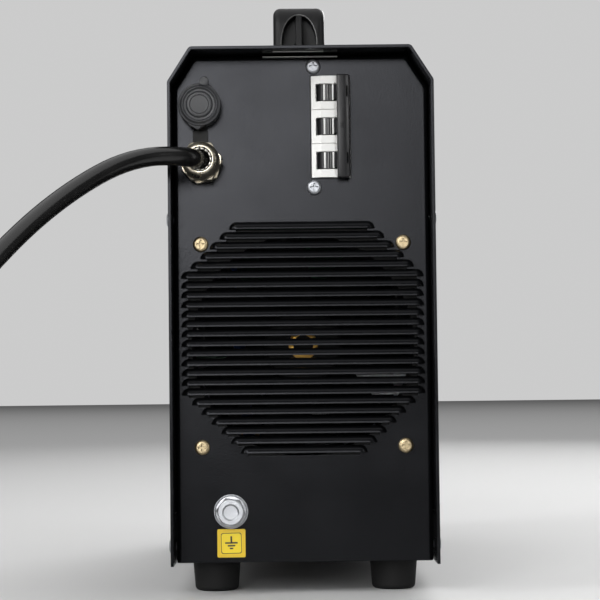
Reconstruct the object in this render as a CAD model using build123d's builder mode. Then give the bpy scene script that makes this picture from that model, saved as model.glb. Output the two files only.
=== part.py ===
from build123d import *
import os
from math import cos, hypot, pi, radians, sin, tan

os.makedirs("parts", exist_ok=True)

# ------------------------------------------------------------------ driving sizes, millimetres
# Frame: +Z up, +Y towards the front of the machine, floor at Z = 0.
case_width = 136.0
case_height = 264.0
case_length = 380.0
chamfer_width = 11.4
chamfer_height = 17.9
cover_sheet = 1.5
cover_bend = 2.6
rear_recess = 21.0
front_recess = 12.0

panel_sheet = 1.2
panel_bend = 2.4
panel_flange = 12.0
panel_flange_foot = 26.0
base_sheet = 1.5
base_side_flange = 25.0
base_end_flange = 14.0
sheet_gap = 0.3

foot_height = 16.0
foot_taper = 4.5
foot_radius = 12.5
foot_inset = 21.6
foot_end_inset = 44.0

handle_length = 214.0
handle_height = 38.0
handle_width = 28.5
handle_grip = 14.0
handle_post = 30.0

fan_side_gap = 8.0
fan_size = case_width - 2 * fan_side_gap
fan_depth = 38.0
fan_hole_spacing = 0.875 * fan_size
fan_height = 0.4231 * case_height
fan_wall = 2.5
fan_bore_radius = fan_size / 2 - fan_wall
hub_radius = 20.0
fan_shaft_radius = 1.5

louvre_rows = 24
louvre_pitch = 1.007 * fan_size / louvre_rows
louvre_radius = 3.7
louvre_sheet = 1.0
louvre_top_lip = fan_size / 2 + 0.1
louvre_side_gap = 0.9
louvre_half_width = fan_size / 2 - louvre_side_gap
louvre_first_half = louvre_half_width - 5 * louvre_pitch
louvre_last_half = louvre_half_width - 6 * louvre_pitch

pole_count = 3
pole_pitch = 17.7
pole_gap = 0.2
breaker_centre_x = 15.6
breaker_drop = 39.3
nose_width = 20.0
lever_axis_x = 14.0
lever_axis_depth = 1.8
lever_radius = 13.5
lever_angle = 38.0
drum_radius = 5.2
drum_window = 12.0
drum_height = 9.2
tie_bar_width = 6.0
tie_bar_depth = 5.0

screw_radius = 2.0
screw_head_radius = 3.9
screw_head_height = 2.4
screw_clearance = 0.25
thread_clearance = 0.05
running_clearance = 0.03

inlet_side_gap = 15.9
inlet_x = inlet_side_gap - case_width / 2
inlet_drop = 28.2
inlet_thread_radius = 6.58
port_cap_radius = 11.0
port_cap_depth = 10.0
port_cap_wall = 1.6
cap_tab_turn = 12.0

gland_side_gap = 16.6
gland_x = gland_side_gap - case_width / 2
gland_drop = 29.9
gland_hex = 19.0
gland_thread_radius = 7.9
cord_radius = 4.75

ground_side_gap = 30.0
ground_x = ground_side_gap - case_width / 2
ground_height = 26.2
label_height = 9.9
label_size = 14.5

# ------------------------------------------------------------------ derived levels
gland_reach = 25.0
torch_reach = 24.0
half_width = case_width / 2
base_level = foot_height
top_level = base_level + case_height
past_rear = gland_reach - rear_recess
past_front = torch_reach - front_recess
rear_rim = -(case_length + past_rear + past_front) / 2 + past_rear
front_rim = rear_rim + case_length
rear_face = rear_rim + rear_recess
front_face = front_rim - front_recess
rear_inside = rear_face + panel_sheet
front_inside = front_face - panel_sheet
panel_inset = cover_sheet + sheet_gap
fan_level = base_level + fan_height
base_top = base_level + base_sheet


def rear_plane(y):
    """Vertical plane at y that faces the rear; local x is +X and local y is +Z."""
    return Plane(origin=(0, y, 0), x_dir=(1, 0, 0), z_dir=(0, -1, 0))


def front_plane(y):
    """Vertical plane at y that faces the front; local x is -X and local y is +Z."""
    return Plane(origin=(0, y, 0), x_dir=(-1, 0, 0), z_dir=(0, 1, 0))


def side_plane(side, y, z):
    """Vertical plane on the left (-1) or right (+1) wall, facing outwards; local y is +Z."""
    return Plane(origin=(side * half_width, y, z), x_dir=(0, side, 0), z_dir=(side, 0, 0))


def case_outline(inset):
    """Section of the case, chamfered along both upper edges, inset from the outer skin."""
    slope = hypot(chamfer_width, chamfer_height)
    normal_x = chamfer_height / slope
    normal_z = chamfer_width / slope
    side = half_width - inset
    top = top_level - inset
    knee = top_level - chamfer_height - inset * (1 - normal_x) / normal_z
    shoulder = half_width - chamfer_width - inset * (1 - normal_z) / normal_x
    with BuildSketch() as outline:
        with BuildLine():
            Polyline(
                (-side, base_level),
                (-side, knee),
                (-shoulder, top),
                (shoulder, top),
                (side, knee),
                (side, base_level),
                close=True,
            )
        make_face()
        bends = outline.vertices().filter_by(lambda v: v.Y > base_level + 1)
        fillet(bends, max(cover_bend - inset, 0.4))
    return outline.sketch


def pan_screw(shank_radius, shank_length, head_radius, head_height):
    """Cross-recess pan head on the XY plane, with its shank below it."""
    with BuildPart() as screw:
        with BuildSketch():
            Circle(head_radius)
        extrude(amount=head_height)
        fillet(screw.faces().sort_by(Axis.Z)[-1].edges(), head_height * 0.7)
        with BuildSketch(Plane.XY.offset(head_height)):
            Rectangle(head_radius * 1.05, head_radius * 0.24)
            Rectangle(head_radius * 0.24, head_radius * 1.05)
        extrude(amount=-head_height * 0.6, mode=Mode.SUBTRACT)
        with BuildSketch():
            Circle(shank_radius)
        extrude(amount=-shank_length)
    return screw.part


def hex_nut(across_flats, thickness, bore_radius):
    """Hexagon nut standing on the XY plane, with flats facing local +Y and -Y."""
    with BuildPart() as nut:
        with BuildSketch():
            RegularPolygon(across_flats / 2, 6, major_radius=False)
            Circle(bore_radius, mode=Mode.SUBTRACT)
        extrude(amount=thickness)
    return nut.part


def bonnet(half_length):
    """One louvre: local Z points out of the sheet, and the lip lies along local X at Y = 0."""
    inner = louvre_radius - louvre_sheet
    with BuildPart() as louvre:
        with BuildSketch(Plane.YZ) as strip:
            with BuildLine():
                outer_arc = CenterArc((0, 0), louvre_radius, 0, 90)
                Line(outer_arc @ 1, (0, inner))
                inner_arc = CenterArc((0, 0), inner, 0, 90)
                Line(inner_arc @ 0, outer_arc @ 0)
            make_face()
        extrude(amount=half_length)
        with BuildSketch(Plane.YZ.offset(half_length)):
            add(strip.sketch_local)
        revolve(axis=Axis((half_length, 0, 0), (0, 1, 0)), revolution_arc=90)
        mirror(about=Plane.YZ)
    return louvre.part


def export(piece, name):
    """Label a finished piece and write it under its own name."""
    piece.label = name
    export_step(piece, f"parts/{name}.step")


# ------------------------------------------------------------------ cover, panels and base
side_vent_rows = 12
side_vent_pitch = 8.0
side_vent_half = 32.0
side_vent_y = 78.0
side_vent_top_lip = 150.0
side_vent_slot = louvre_radius - louvre_sheet

cover_screw_lower = 8.0
cover_screw_upper = 177.7
cover_screw_inset = 7.0
cover_screw_levels = [base_level + cover_screw_lower, base_level + cover_screw_upper]
cover_screw_ends = [rear_inside + cover_screw_inset, front_inside - cover_screw_inset]
handle_screw_radius = 2.5
handle_middle = (rear_rim + front_rim) / 2
handle_screw_arm = (handle_length - handle_post) / 2
handle_screw_places = [handle_middle - handle_screw_arm, handle_middle + handle_screw_arm]
side_vent_lips = []
for row in range(side_vent_rows):
    side_vent_lips.append(base_level + side_vent_top_lip - row * side_vent_pitch)

with BuildPart() as cover:
    with BuildSketch(rear_plane(rear_rim)):
        add(case_outline(0))
        add(case_outline(cover_sheet), mode=Mode.SUBTRACT)
        with Locations((0, base_level)):
            Rectangle(case_width - 2 * cover_sheet, 4 * cover_sheet, mode=Mode.SUBTRACT)
    extrude(amount=-case_length)
    for side in (-1, 1):
        with BuildSketch(side_plane(side, side_vent_y, 0)):
            for lip in side_vent_lips:
                with Locations((0, lip + side_vent_slot / 2)):
                    Rectangle(2 * side_vent_half, side_vent_slot)
        extrude(amount=-cover_sheet, mode=Mode.SUBTRACT)
        with Locations(side_plane(side, side_vent_y, 0)):
            vents = []
            for lip in side_vent_lips:
                vents.append(Pos(0, lip, 0) * bonnet(side_vent_half))
            add(vents)
        for y in cover_screw_ends:
            for z in cover_screw_levels:
                with Locations(side_plane(side, y, z)):
                    Hole(screw_radius + screw_clearance, depth=3 * cover_sheet)
    for y in handle_screw_places:
        with Locations((0, y, top_level)):
            Hole(handle_screw_radius + screw_clearance, depth=2 * cover_sheet)
export(cover.part, "cover")


def panel_tray(face, inward):
    """Flat panel with a rounded bend into flanges at its sides, chamfers and top."""
    with BuildPart() as tray:
        with BuildSketch(rear_plane(face)):
            add(case_outline(panel_inset))
        extrude(amount=-inward * panel_flange)
        outer = tray.faces().filter_by(Axis.Y).sort_by(Axis.Y)[0 if inward > 0 else -1]
        bends = outer.edges().filter_by(lambda e: e.center().Z > base_level + 1)
        fillet(bends, panel_bend)
        with BuildSketch(rear_plane(face + inward * panel_sheet)):
            add(case_outline(panel_inset + panel_sheet))
            with Locations((0, base_level)):
                Rectangle(case_width - 2 * (panel_inset + panel_sheet), 4 * panel_sheet)
        extrude(amount=-inward * panel_flange, mode=Mode.SUBTRACT)
        with BuildSketch(rear_plane(face + inward * panel_sheet)):
            with Locations((0, base_level)):
                Rectangle(case_width, 2 * panel_flange_foot)
        extrude(amount=-inward * panel_flange, mode=Mode.SUBTRACT)
        screw_y = face + inward * (panel_sheet + cover_screw_inset)
        for side in (-1, 1):
            with Locations(side_plane(side, screw_y, cover_screw_levels[1])):
                Hole(screw_radius + screw_clearance, depth=4 * panel_inset)
    return tray.part


# Louvre rows form an octagon whose slanted sides step by one pitch a row.
louvre_lips = []
louvre_halves = []
for row in range(louvre_rows):
    louvre_lips.append(fan_level + louvre_top_lip - row * louvre_pitch)
    from_top = louvre_first_half + row * louvre_pitch
    from_foot = louvre_last_half + (louvre_rows - 1 - row) * louvre_pitch
    louvre_halves.append(min(louvre_half_width, from_top, from_foot))

breaker_level = top_level - breaker_drop
breaker_height = pole_count * pole_pitch
nose_left = breaker_centre_x - nose_width / 2
breaker_screw_x = 6.8
breaker_screw_margin = 5.0
breaker_screw_span = breaker_height + 2 * breaker_screw_margin
inlet_level = top_level - inlet_drop
inlet_body_radius = 8.0
gland_level = inlet_level - gland_drop
ground_level = base_level + ground_height
ground_radius = 4.0

with BuildPart() as rear_panel:
    add(panel_tray(rear_face, 1))
    slot_height = louvre_pitch - louvre_sheet
    with BuildSketch(rear_plane(rear_face)):
        for lip, half in zip(louvre_lips, louvre_halves):
            with Locations((0, lip + louvre_radius - louvre_sheet - slot_height / 2)):
                Rectangle(2 * half, slot_height)
    extrude(amount=-panel_sheet, mode=Mode.SUBTRACT)
    with BuildSketch(rear_plane(rear_face)):
        with Locations((0, fan_level)):
            with GridLocations(fan_hole_spacing, fan_hole_spacing, 2, 2):
                Circle(screw_radius + screw_clearance)
        with Locations((breaker_centre_x, breaker_level)):
            Rectangle(nose_width + 2 * sheet_gap, breaker_height + 2 * sheet_gap)
        with Locations((breaker_screw_x, breaker_level)):
            with GridLocations(1, breaker_screw_span, 1, 2):
                Circle(screw_radius + screw_clearance)
        with Locations((inlet_x, inlet_level)):
            Circle(inlet_body_radius + screw_clearance)
        with Locations((gland_x, gland_level)):
            Circle(gland_thread_radius + screw_clearance)
        with Locations((ground_x, ground_level)):
            Circle(ground_radius + screw_clearance)
    extrude(amount=-panel_sheet, mode=Mode.SUBTRACT)
    with Locations(rear_plane(rear_face)):
        bonnets = []
        for lip, half in zip(louvre_lips, louvre_halves):
            bonnets.append(Pos(0, lip, 0) * bonnet(half))
        add(bonnets)
export(rear_panel.part, "rear_panel")

# ------------------------------------------------------------------ front layout
fascia_side_gap = 14.0
fascia_width = case_width - 2 * fascia_side_gap
fascia_height = 86.0
fascia_thickness = 3.0
fascia_drop = 60.0
fascia_level = top_level - fascia_drop
display_side_gap = 13.0
display_lamp_gap = 9.0
lamp_side_gap = 36.0
display_width = fascia_width - display_side_gap - display_lamp_gap - lamp_side_gap
display_height = 22.0
display_x = (fascia_width - display_width) / 2 - display_side_gap
display_level = fascia_level + 22.0
display_thickness = 2.0
knob_side_gap = 32.0
knob_x = fascia_width / 2 - knob_side_gap
knob_level = fascia_level - 16.0
knob_radius = 16.0
knob_height = 16.0
knob_gap = 0.8
pot_shaft_radius = 3.0
pot_bush_radius = 3.6
rocker_side_gap = 18.0
rocker_x = rocker_side_gap - fascia_width / 2
rocker_level = fascia_level + 22.0
rocker_width = 13.0
rocker_height = 19.0
rocker_swing = 8.0
button_side_gap = 20.0
button_x = button_side_gap - fascia_width / 2
button_level = fascia_level - 18.0
button_radius = 6.0
lamp_radius = 2.4
lamp_pitch = 14.0
lamp_x = lamp_side_gap - fascia_width / 2
socket_level = base_level + 46.0
work_x = 34.0
torch_x = -34.0
trigger_level = socket_level + 40.0
work_body_radius = 14.0
torch_thread_radius = 10.0
trigger_thread_radius = 7.9
front_vent_rows = 8
front_vent_half = 24.0
front_vent_pitch = 7.0
front_vent_top_lip = 120.0

front_vent_lips = []
for row in range(front_vent_rows):
    front_vent_lips.append(base_level + front_vent_top_lip - row * front_vent_pitch)

with BuildPart() as front_panel:
    add(panel_tray(front_face, -1))
    with BuildSketch(front_plane(front_face)):
        with Locations((display_x, display_level)):
            Rectangle(display_width - 8, display_height - 6)
        with Locations((knob_x, knob_level)):
            Circle(pot_bush_radius + screw_clearance)
        with Locations((rocker_x, rocker_level)):
            Rectangle(rocker_width + 1, rocker_height + 1)
        with Locations((button_x, button_level)):
            Circle(button_radius + 1)
        with Locations((lamp_x, display_level)):
            with GridLocations(1, lamp_pitch, 1, 3):
                Circle(lamp_radius + screw_clearance)
        with Locations((-work_x, socket_level)):
            Circle(work_body_radius + screw_clearance)
        with Locations((-torch_x, socket_level)):
            Circle(torch_thread_radius + screw_clearance)
        with Locations((-torch_x, trigger_level)):
            Circle(trigger_thread_radius + screw_clearance)
        for lip in front_vent_lips:
            with Locations((-work_x + 6, lip + side_vent_slot / 2)):
                Rectangle(2 * front_vent_half, side_vent_slot)
    extrude(amount=-panel_sheet, mode=Mode.SUBTRACT)
    with Locations(front_plane(front_face)):
        front_vents = []
        for lip in front_vent_lips:
            front_vents.append(Pos(-work_x + 6, lip, 0) * bonnet(front_vent_half))
        add(front_vents)
export(front_panel.part, "front_panel")

# Tray that closes the underside; its side flanges take the lower cover screws.
base_width = case_width - 2 * panel_inset
base_length = front_inside - rear_inside - 2 * sheet_gap
foot_x = half_width - foot_inset
foot_rear_y = rear_rim + foot_end_inset
foot_front_y = front_rim - foot_end_inset
foot_places = {
    "foot_rear_left": (-foot_x, foot_rear_y),
    "foot_rear_right": (foot_x, foot_rear_y),
    "foot_front_left": (-foot_x, foot_front_y),
    "foot_front_right": (foot_x, foot_front_y),
}
base_middle = (rear_inside + front_inside) / 2

with BuildPart() as base_pan:
    with BuildSketch(Plane.XY.offset(base_level)):
        with Locations((0, base_middle)):
            Rectangle(base_width, base_length)
    extrude(amount=base_side_flange)
    fillet(base_pan.faces().sort_by(Axis.Z)[0].edges(), base_sheet * 1.3)
    with BuildSketch(Plane.XY.offset(base_top)):
        with Locations((0, base_middle)):
            Rectangle(base_width - 2 * base_sheet, base_length - 2 * base_sheet)
    extrude(amount=base_side_flange, mode=Mode.SUBTRACT)
    with BuildSketch(Plane.XY.offset(base_level + base_end_flange)):
        with Locations((0, base_middle)):
            Rectangle(base_width - 2 * base_sheet, base_length)
    extrude(amount=base_side_flange, mode=Mode.SUBTRACT)
    with BuildSketch(Plane.XY.offset(base_level)):
        with Locations(*foot_places.values()):
            Circle(screw_radius + screw_clearance)
    extrude(amount=base_sheet, mode=Mode.SUBTRACT)
    for side in (-1, 1):
        for y in cover_screw_ends:
            with Locations(side_plane(side, y, cover_screw_levels[0])):
                Hole(screw_radius + screw_clearance, depth=4 * panel_inset)
export(base_pan.part, "base_pan")

with BuildPart() as cover_screws:
    cover_screw = pan_screw(screw_radius, 9.0, screw_head_radius, screw_head_height)
    for side in (-1, 1):
        for y in cover_screw_ends:
            for z in cover_screw_levels:
                with Locations(side_plane(side, y, z)):
                    add(cover_screw)
export(cover_screws.part, "cover_screws")

# ------------------------------------------------------------------ feet
foot_counterbore_radius = screw_head_radius + 0.6
foot_counterbore = 8.0
foot_screw_grip = foot_height - foot_counterbore

for foot_name, (foot_at_x, foot_at_y) in foot_places.items():
    with BuildPart() as foot:
        with BuildSketch(Plane.XY):
            with Locations((foot_at_x, foot_at_y)):
                Circle(foot_radius - foot_height * tan(radians(foot_taper)))
        extrude(amount=foot_height, taper=-foot_taper)
        fillet(foot.edges().group_by(Axis.Z)[0], 2.5)
        fillet(foot.edges().group_by(Axis.Z)[-1], 0.8)
        with BuildSketch(Plane.XY):
            with Locations((foot_at_x, foot_at_y)):
                Circle(foot_counterbore_radius)
        extrude(amount=foot_counterbore, mode=Mode.SUBTRACT)
        with BuildSketch(Plane.XY):
            with Locations((foot_at_x, foot_at_y)):
                Circle(screw_radius + screw_clearance)
        extrude(amount=foot_height, mode=Mode.SUBTRACT)
    export(foot.part, foot_name)

with BuildPart() as foot_screws:
    foot_screw_length = foot_screw_grip + base_sheet + 5
    foot_screw = pan_screw(screw_radius, foot_screw_length, screw_head_radius, screw_head_height)
    for foot_at_x, foot_at_y in foot_places.values():
        with Locations(Plane(origin=(foot_at_x, foot_at_y, foot_counterbore), z_dir=(0, 0, -1))):
            add(foot_screw)
export(foot_screws.part, "foot_screws")

# ------------------------------------------------------------------ carrying handle
handle_rake = 5.0
handle_crown = 4.0
recess_width = 19.3
recess_top = 5.6
recess_floor = 5.0
recess_depth = 9.0
recess_arch = 15.5
recess_spring = top_level + handle_height - recess_top - recess_arch
rib_width = 3.2
handle_half = handle_length / 2
handle_top = top_level + handle_height
grip_height = handle_height - handle_grip

with BuildPart() as handle:
    with BuildSketch(Plane.YZ.offset(-handle_width / 2)) as bridge:
        with BuildLine():
            Polyline(
                (handle_middle - handle_half, top_level),
                (handle_middle - handle_half + handle_rake, handle_top),
                (handle_middle + handle_half - handle_rake, handle_top),
                (handle_middle + handle_half, top_level),
                close=True,
            )
        make_face()
        fillet(bridge.vertices().filter_by(lambda v: v.Y > handle_top - 1), 12)
    extrude(amount=handle_width)
    with BuildSketch(Plane.YZ.offset(-handle_width / 2)) as hand_hold:
        with BuildLine():
            Polyline(
                (handle_middle - handle_half + handle_post, top_level),
                (handle_middle - handle_half + handle_post + handle_rake, top_level + grip_height),
                (handle_middle + handle_half - handle_post - handle_rake, top_level + grip_height),
                (handle_middle + handle_half - handle_post, top_level),
                close=True,
            )
        make_face()
        fillet(hand_hold.vertices().filter_by(lambda v: v.Y > top_level + 1), 9)
    extrude(amount=handle_width, mode=Mode.SUBTRACT)
    long_edges = handle.edges().filter_by(lambda e: abs(abs(e.center().X) - handle_width / 2) < 0.01)
    fillet(long_edges.filter_by(lambda e: e.center().Z > handle_top - 12.5), handle_crown)
    with BuildSketch(Plane.XZ.offset(handle_half - handle_middle)) as end_recess:
        with Locations((0, recess_spring)):
            Ellipse(recess_width / 2, recess_arch)
            Rectangle(
                recess_width,
                recess_spring - top_level - recess_floor,
                align=(Align.CENTER, Align.MAX),
            )
        with Locations((0, top_level + recess_floor)):
            Rectangle(recess_width, recess_arch, align=(Align.CENTER, Align.MAX), mode=Mode.SUBTRACT)
        with Locations((0, top_level)):
            Rectangle(rib_width, handle_height, align=(Align.CENTER, Align.MIN), mode=Mode.SUBTRACT)
    extrude(amount=-(recess_depth + handle_rake), mode=Mode.SUBTRACT)
    mirror(about=Plane.XZ.offset(-handle_middle), mode=Mode.INTERSECT)
    for y in handle_screw_places:
        with Locations(Plane(origin=(0, y, top_level), z_dir=(0, 0, -1))):
            Hole(handle_screw_radius + thread_clearance, depth=18)
export(handle.part, "handle")

with BuildPart() as handle_screws:
    handle_screw = pan_screw(handle_screw_radius, cover_sheet + 16, 4.6, 2.8)
    for y in handle_screw_places:
        with Locations(Plane(origin=(0, y, top_level - cover_sheet), z_dir=(0, 0, -1))):
            add(handle_screw)
export(handle_screws.part, "handle_screws")

# ------------------------------------------------------------------ fan
frame_flange = 5.0
frame_duct_wall = 1.9
frame_duct_radius = fan_bore_radius + frame_duct_wall
strut_depth = 5.0
motor_base_radius = 21.0
bearing_radius = 4.0
bearing_width = 4.0
bearing_tube_radius = 6.0
rotor_front_gap = 4.0
hub_wall = 1.6
hub_depth = 26.0
blade_count = 7
blade_chord = 30.0
blade_pitch_angle = 50.0
blade_thickness = 2.0
blade_root_radius = hub_radius - 3.6
blade_tip_radius = fan_bore_radius - 2.0
fan_near = rear_inside
fan_far = fan_near + fan_depth

with BuildPart() as fan_frame:
    with BuildSketch(rear_plane(fan_near)):
        with Locations((0, fan_level)):
            RectangleRounded(fan_size, fan_size, 6)
    extrude(amount=-fan_depth)
    with BuildSketch(rear_plane(fan_near + frame_flange)):
        with Locations((0, fan_level)):
            Rectangle(fan_size + 2, fan_size + 2)
            Circle(frame_duct_radius, mode=Mode.SUBTRACT)
    extrude(amount=-(fan_depth - 2 * frame_flange), mode=Mode.SUBTRACT)
    with BuildSketch(rear_plane(fan_near)):
        with Locations((0, fan_level)):
            Circle(fan_bore_radius)
            with GridLocations(fan_hole_spacing, fan_hole_spacing, 2, 2):
                Circle(screw_radius + screw_clearance)
    extrude(amount=-fan_depth, mode=Mode.SUBTRACT)
    with BuildSketch(rear_plane(fan_far)):
        with Locations((0, fan_level)):
            Circle(motor_base_radius)
            with PolarLocations((fan_bore_radius + motor_base_radius) / 2 - 1, 4, start_angle=45):
                Rectangle(fan_bore_radius - motor_base_radius + 6, 5)
    extrude(amount=strut_depth)
    with BuildSketch(rear_plane(fan_far - strut_depth)):
        with Locations((0, fan_level)):
            Circle(bearing_tube_radius)
    extrude(amount=hub_depth - strut_depth - 4)
    with BuildSketch(rear_plane(fan_far)):
        with Locations((0, fan_level)):
            Circle(bearing_radius)
    extrude(amount=fan_depth, mode=Mode.SUBTRACT)
export(fan_frame.part, "fan_frame")

bearing_far = fan_far - 1.0
bearing_near = fan_far - hub_depth + 5.0
with BuildPart() as fan_bearings:
    for place in (bearing_far, bearing_near + bearing_width):
        with BuildSketch(rear_plane(place)):
            with Locations((0, fan_level)):
                Circle(bearing_radius)
                Circle(fan_shaft_radius + running_clearance, mode=Mode.SUBTRACT)
        extrude(amount=bearing_width)
export(fan_bearings.part, "fan_bearings")

hub_face = fan_near + rotor_front_gap
with BuildPart() as fan_rotor:
    with BuildSketch(rear_plane(hub_face)):
        with Locations((0, fan_level)):
            Circle(hub_radius)
    extrude(amount=-hub_depth)
    fillet(fan_rotor.faces().sort_by(Axis.Y)[0].edges(), 2)
    with BuildSketch(rear_plane(hub_face + hub_wall)):
        with Locations((0, fan_level)):
            Circle(hub_radius - hub_wall)
    extrude(amount=-hub_depth, mode=Mode.SUBTRACT)
    with BuildSketch(rear_plane(hub_face + hub_wall / 2)):
        with Locations((0, fan_level)):
            Circle(fan_shaft_radius)
    extrude(amount=-(fan_depth - rotor_front_gap - hub_wall / 2 - 2))
    blade_middle = hub_face + hub_depth / 2
    for index in range(blade_count):
        turn = 360 / blade_count * index
        out = Vector(1, 0, 0).rotate(Axis.Y, turn)
        start = Vector(0, blade_middle, fan_level) + out * blade_root_radius
        with BuildSketch(Plane(origin=start, x_dir=(0, 1, 0), z_dir=out)):
            Rectangle(blade_chord, blade_thickness, rotation=blade_pitch_angle)
        extrude(amount=blade_tip_radius - blade_root_radius)
export(fan_rotor.part, "fan_rotor")

fan_nut_thickness = 3.2
with BuildPart() as fan_screws:
    fan_screw_length = panel_sheet + fan_depth + fan_nut_thickness + 2
    fan_screw = pan_screw(screw_radius, fan_screw_length, screw_head_radius + 0.1, screw_head_height)
    with Locations(rear_plane(rear_face)):
        with Locations((0, fan_level)):
            with GridLocations(fan_hole_spacing, fan_hole_spacing, 2, 2):
                add(fan_screw)
export(fan_screws.part, "fan_screws")

with BuildPart() as fan_nuts:
    fan_nut = hex_nut(7.0, fan_nut_thickness, screw_radius + thread_clearance)
    with Locations(rear_plane(fan_far + fan_nut_thickness)):
        with Locations((0, fan_level)):
            with GridLocations(fan_hole_spacing, fan_hole_spacing, 2, 2):
                add(fan_nut)
export(fan_nuts.part, "fan_nuts")

# ------------------------------------------------------------------ breaker
nose_root_depth = 7.0
nose_edge = 0.8
nose_crown = 3.2
nose_crown_width = 7.0
shoulder_width = 45.0
body_width = 76.0
body_step_depth = 27.0
body_depth = 66.0
rail_width = 35.0
rail_notch = 4.0
window_floor = lever_axis_depth + drum_radius + 1.0
pole_names = ["breaker_pole_lower", "breaker_pole_middle", "breaker_pole_upper"]


def breaker_profile():
    """Plan of one pole: local x is +X, local y is +Y from the panel's outer face."""
    right = breaker_centre_x + nose_width / 2
    with BuildSketch() as plan:
        with BuildLine():
            Polyline(
                (nose_left, nose_root_depth),
                (nose_left, -nose_edge),
                (lever_axis_x - nose_crown_width / 2, -nose_crown),
                (lever_axis_x + nose_crown_width / 2, -nose_crown),
                (right, -nose_edge),
                (right, nose_root_depth),
                close=True,
            )
        make_face()
        with Locations((breaker_centre_x, nose_root_depth)):
            Rectangle(shoulder_width, body_step_depth - nose_root_depth, align=(Align.CENTER, Align.MIN))
        with Locations((breaker_centre_x, body_step_depth)):
            Rectangle(body_width, body_depth - body_step_depth, align=(Align.CENTER, Align.MIN))
        with Locations((breaker_centre_x, body_depth)):
            Rectangle(rail_width + 1, 2 * rail_notch, mode=Mode.SUBTRACT)
    return plan.sketch


pole_height = pole_pitch - pole_gap
lever_axis_y = rear_face + lever_axis_depth
pole_levels = []
for index in range(pole_count):
    pole_levels.append(breaker_level + (index - (pole_count - 1) / 2) * pole_pitch)

for pole_name, pole_level in zip(pole_names, pole_levels):
    with BuildPart() as pole:
        with BuildSketch(Plane(origin=(0, rear_face, pole_level - pole_height / 2))):
            add(breaker_profile())
        extrude(amount=pole_height)
        with BuildSketch(rear_plane(rear_face + window_floor)):
            with Locations((lever_axis_x, pole_level)):
                Rectangle(drum_window, drum_height)
        extrude(amount=window_floor + 2 * nose_crown, mode=Mode.SUBTRACT)
        for end in (-1, 1):
            terminal_x = breaker_centre_x + end * body_width / 2
            with Locations(Plane(origin=(terminal_x, rear_face + 40, pole_level), z_dir=(end, 0, 0))):
                Hole(4, depth=10)
    export(pole.part, pole_name)

drum_gap = 0.3
lever_thickness = 3.0
lever_height = drum_height - 2.4
lever_out = Vector(sin(radians(lever_angle)), -cos(radians(lever_angle)), 0)
tie_inner = lever_radius - tie_bar_depth / 2
with BuildPart() as breaker_toggles:
    for pole_level in pole_levels:
        drum_foot = (lever_axis_x, lever_axis_y, pole_level - drum_height / 2 + drum_gap)
        with BuildSketch(Plane(origin=drum_foot)):
            Circle(drum_radius)
        extrude(amount=drum_height - 2 * drum_gap)
        lever_foot = (lever_axis_x, lever_axis_y, pole_level - lever_height / 2)
        with BuildSketch(Plane(origin=lever_foot, x_dir=lever_out)):
            Rectangle(tie_inner, lever_thickness, align=(Align.MIN, Align.CENTER))
        extrude(amount=lever_height)
export(breaker_toggles.part, "breaker_toggles")

tie_bar_length = breaker_height - 1.0
with BuildPart() as breaker_tie_bar:
    bar_foot = (lever_axis_x, lever_axis_y, breaker_level - tie_bar_length / 2)
    with BuildSketch(Plane(origin=bar_foot, x_dir=lever_out)):
        with Locations((tie_inner, 0)):
            Rectangle(tie_bar_depth, tie_bar_width, align=(Align.MIN, Align.CENTER))
    extrude(amount=tie_bar_length)
    outer_edges = breaker_tie_bar.edges().filter_by(Axis.Z).sort_by_distance(
        Vector(lever_axis_x, lever_axis_y, breaker_level)
    )
    fillet(outer_edges[-2:], tie_bar_width * 0.4)
export(breaker_tie_bar.part, "breaker_tie_bar")

bracket_sheet = 1.5
bracket_gap = 0.3
arm_top = breaker_level + breaker_height / 2 + bracket_gap
arm_foot = breaker_level - breaker_height / 2 - bracket_gap
tab_reach = breaker_screw_margin + 3.4
arm_left = breaker_screw_x - 6.0
arm_right = breaker_centre_x + 14.0
with BuildPart() as breaker_bracket:
    rail_y = rear_face + body_depth - rail_notch + bracket_gap
    with BuildSketch(rear_plane(rail_y + bracket_sheet)):
        with Locations((breaker_centre_x, breaker_level)):
            Rectangle(rail_width - 1, breaker_height + 2 * (bracket_gap + bracket_sheet))
    extrude(amount=bracket_sheet)
    for direction, level in ((1, arm_top), (-1, arm_foot)):
        arm_depth = rail_y + bracket_sheet - rear_inside
        with BuildSketch(Plane.XY.offset(level)):
            with Locations((arm_left, rear_inside)):
                Rectangle(arm_right - arm_left, arm_depth, align=(Align.MIN, Align.MIN))
        extrude(amount=direction * bracket_sheet)
        with BuildSketch(rear_plane(rear_inside)):
            with Locations((arm_left, level)):
                tab_align = Align.MIN if direction > 0 else Align.MAX
                Rectangle(12, tab_reach, align=(Align.MIN, tab_align))
        extrude(amount=-bracket_sheet)
    with Locations(rear_plane(rear_inside)):
        with Locations((breaker_screw_x, breaker_level)):
            with GridLocations(1, breaker_screw_span, 1, 2):
                Hole(screw_radius + thread_clearance, depth=2 * bracket_sheet)
export(breaker_bracket.part, "breaker_bracket")

with BuildPart() as breaker_screws:
    breaker_screw = pan_screw(screw_radius, 8.0, screw_head_radius, screw_head_height)
    with Locations(rear_plane(rear_face)):
        with Locations((breaker_screw_x, breaker_level)):
            with GridLocations(1, breaker_screw_span, 1, 2):
                add(breaker_screw)
export(breaker_screws.part, "breaker_screws")

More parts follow.
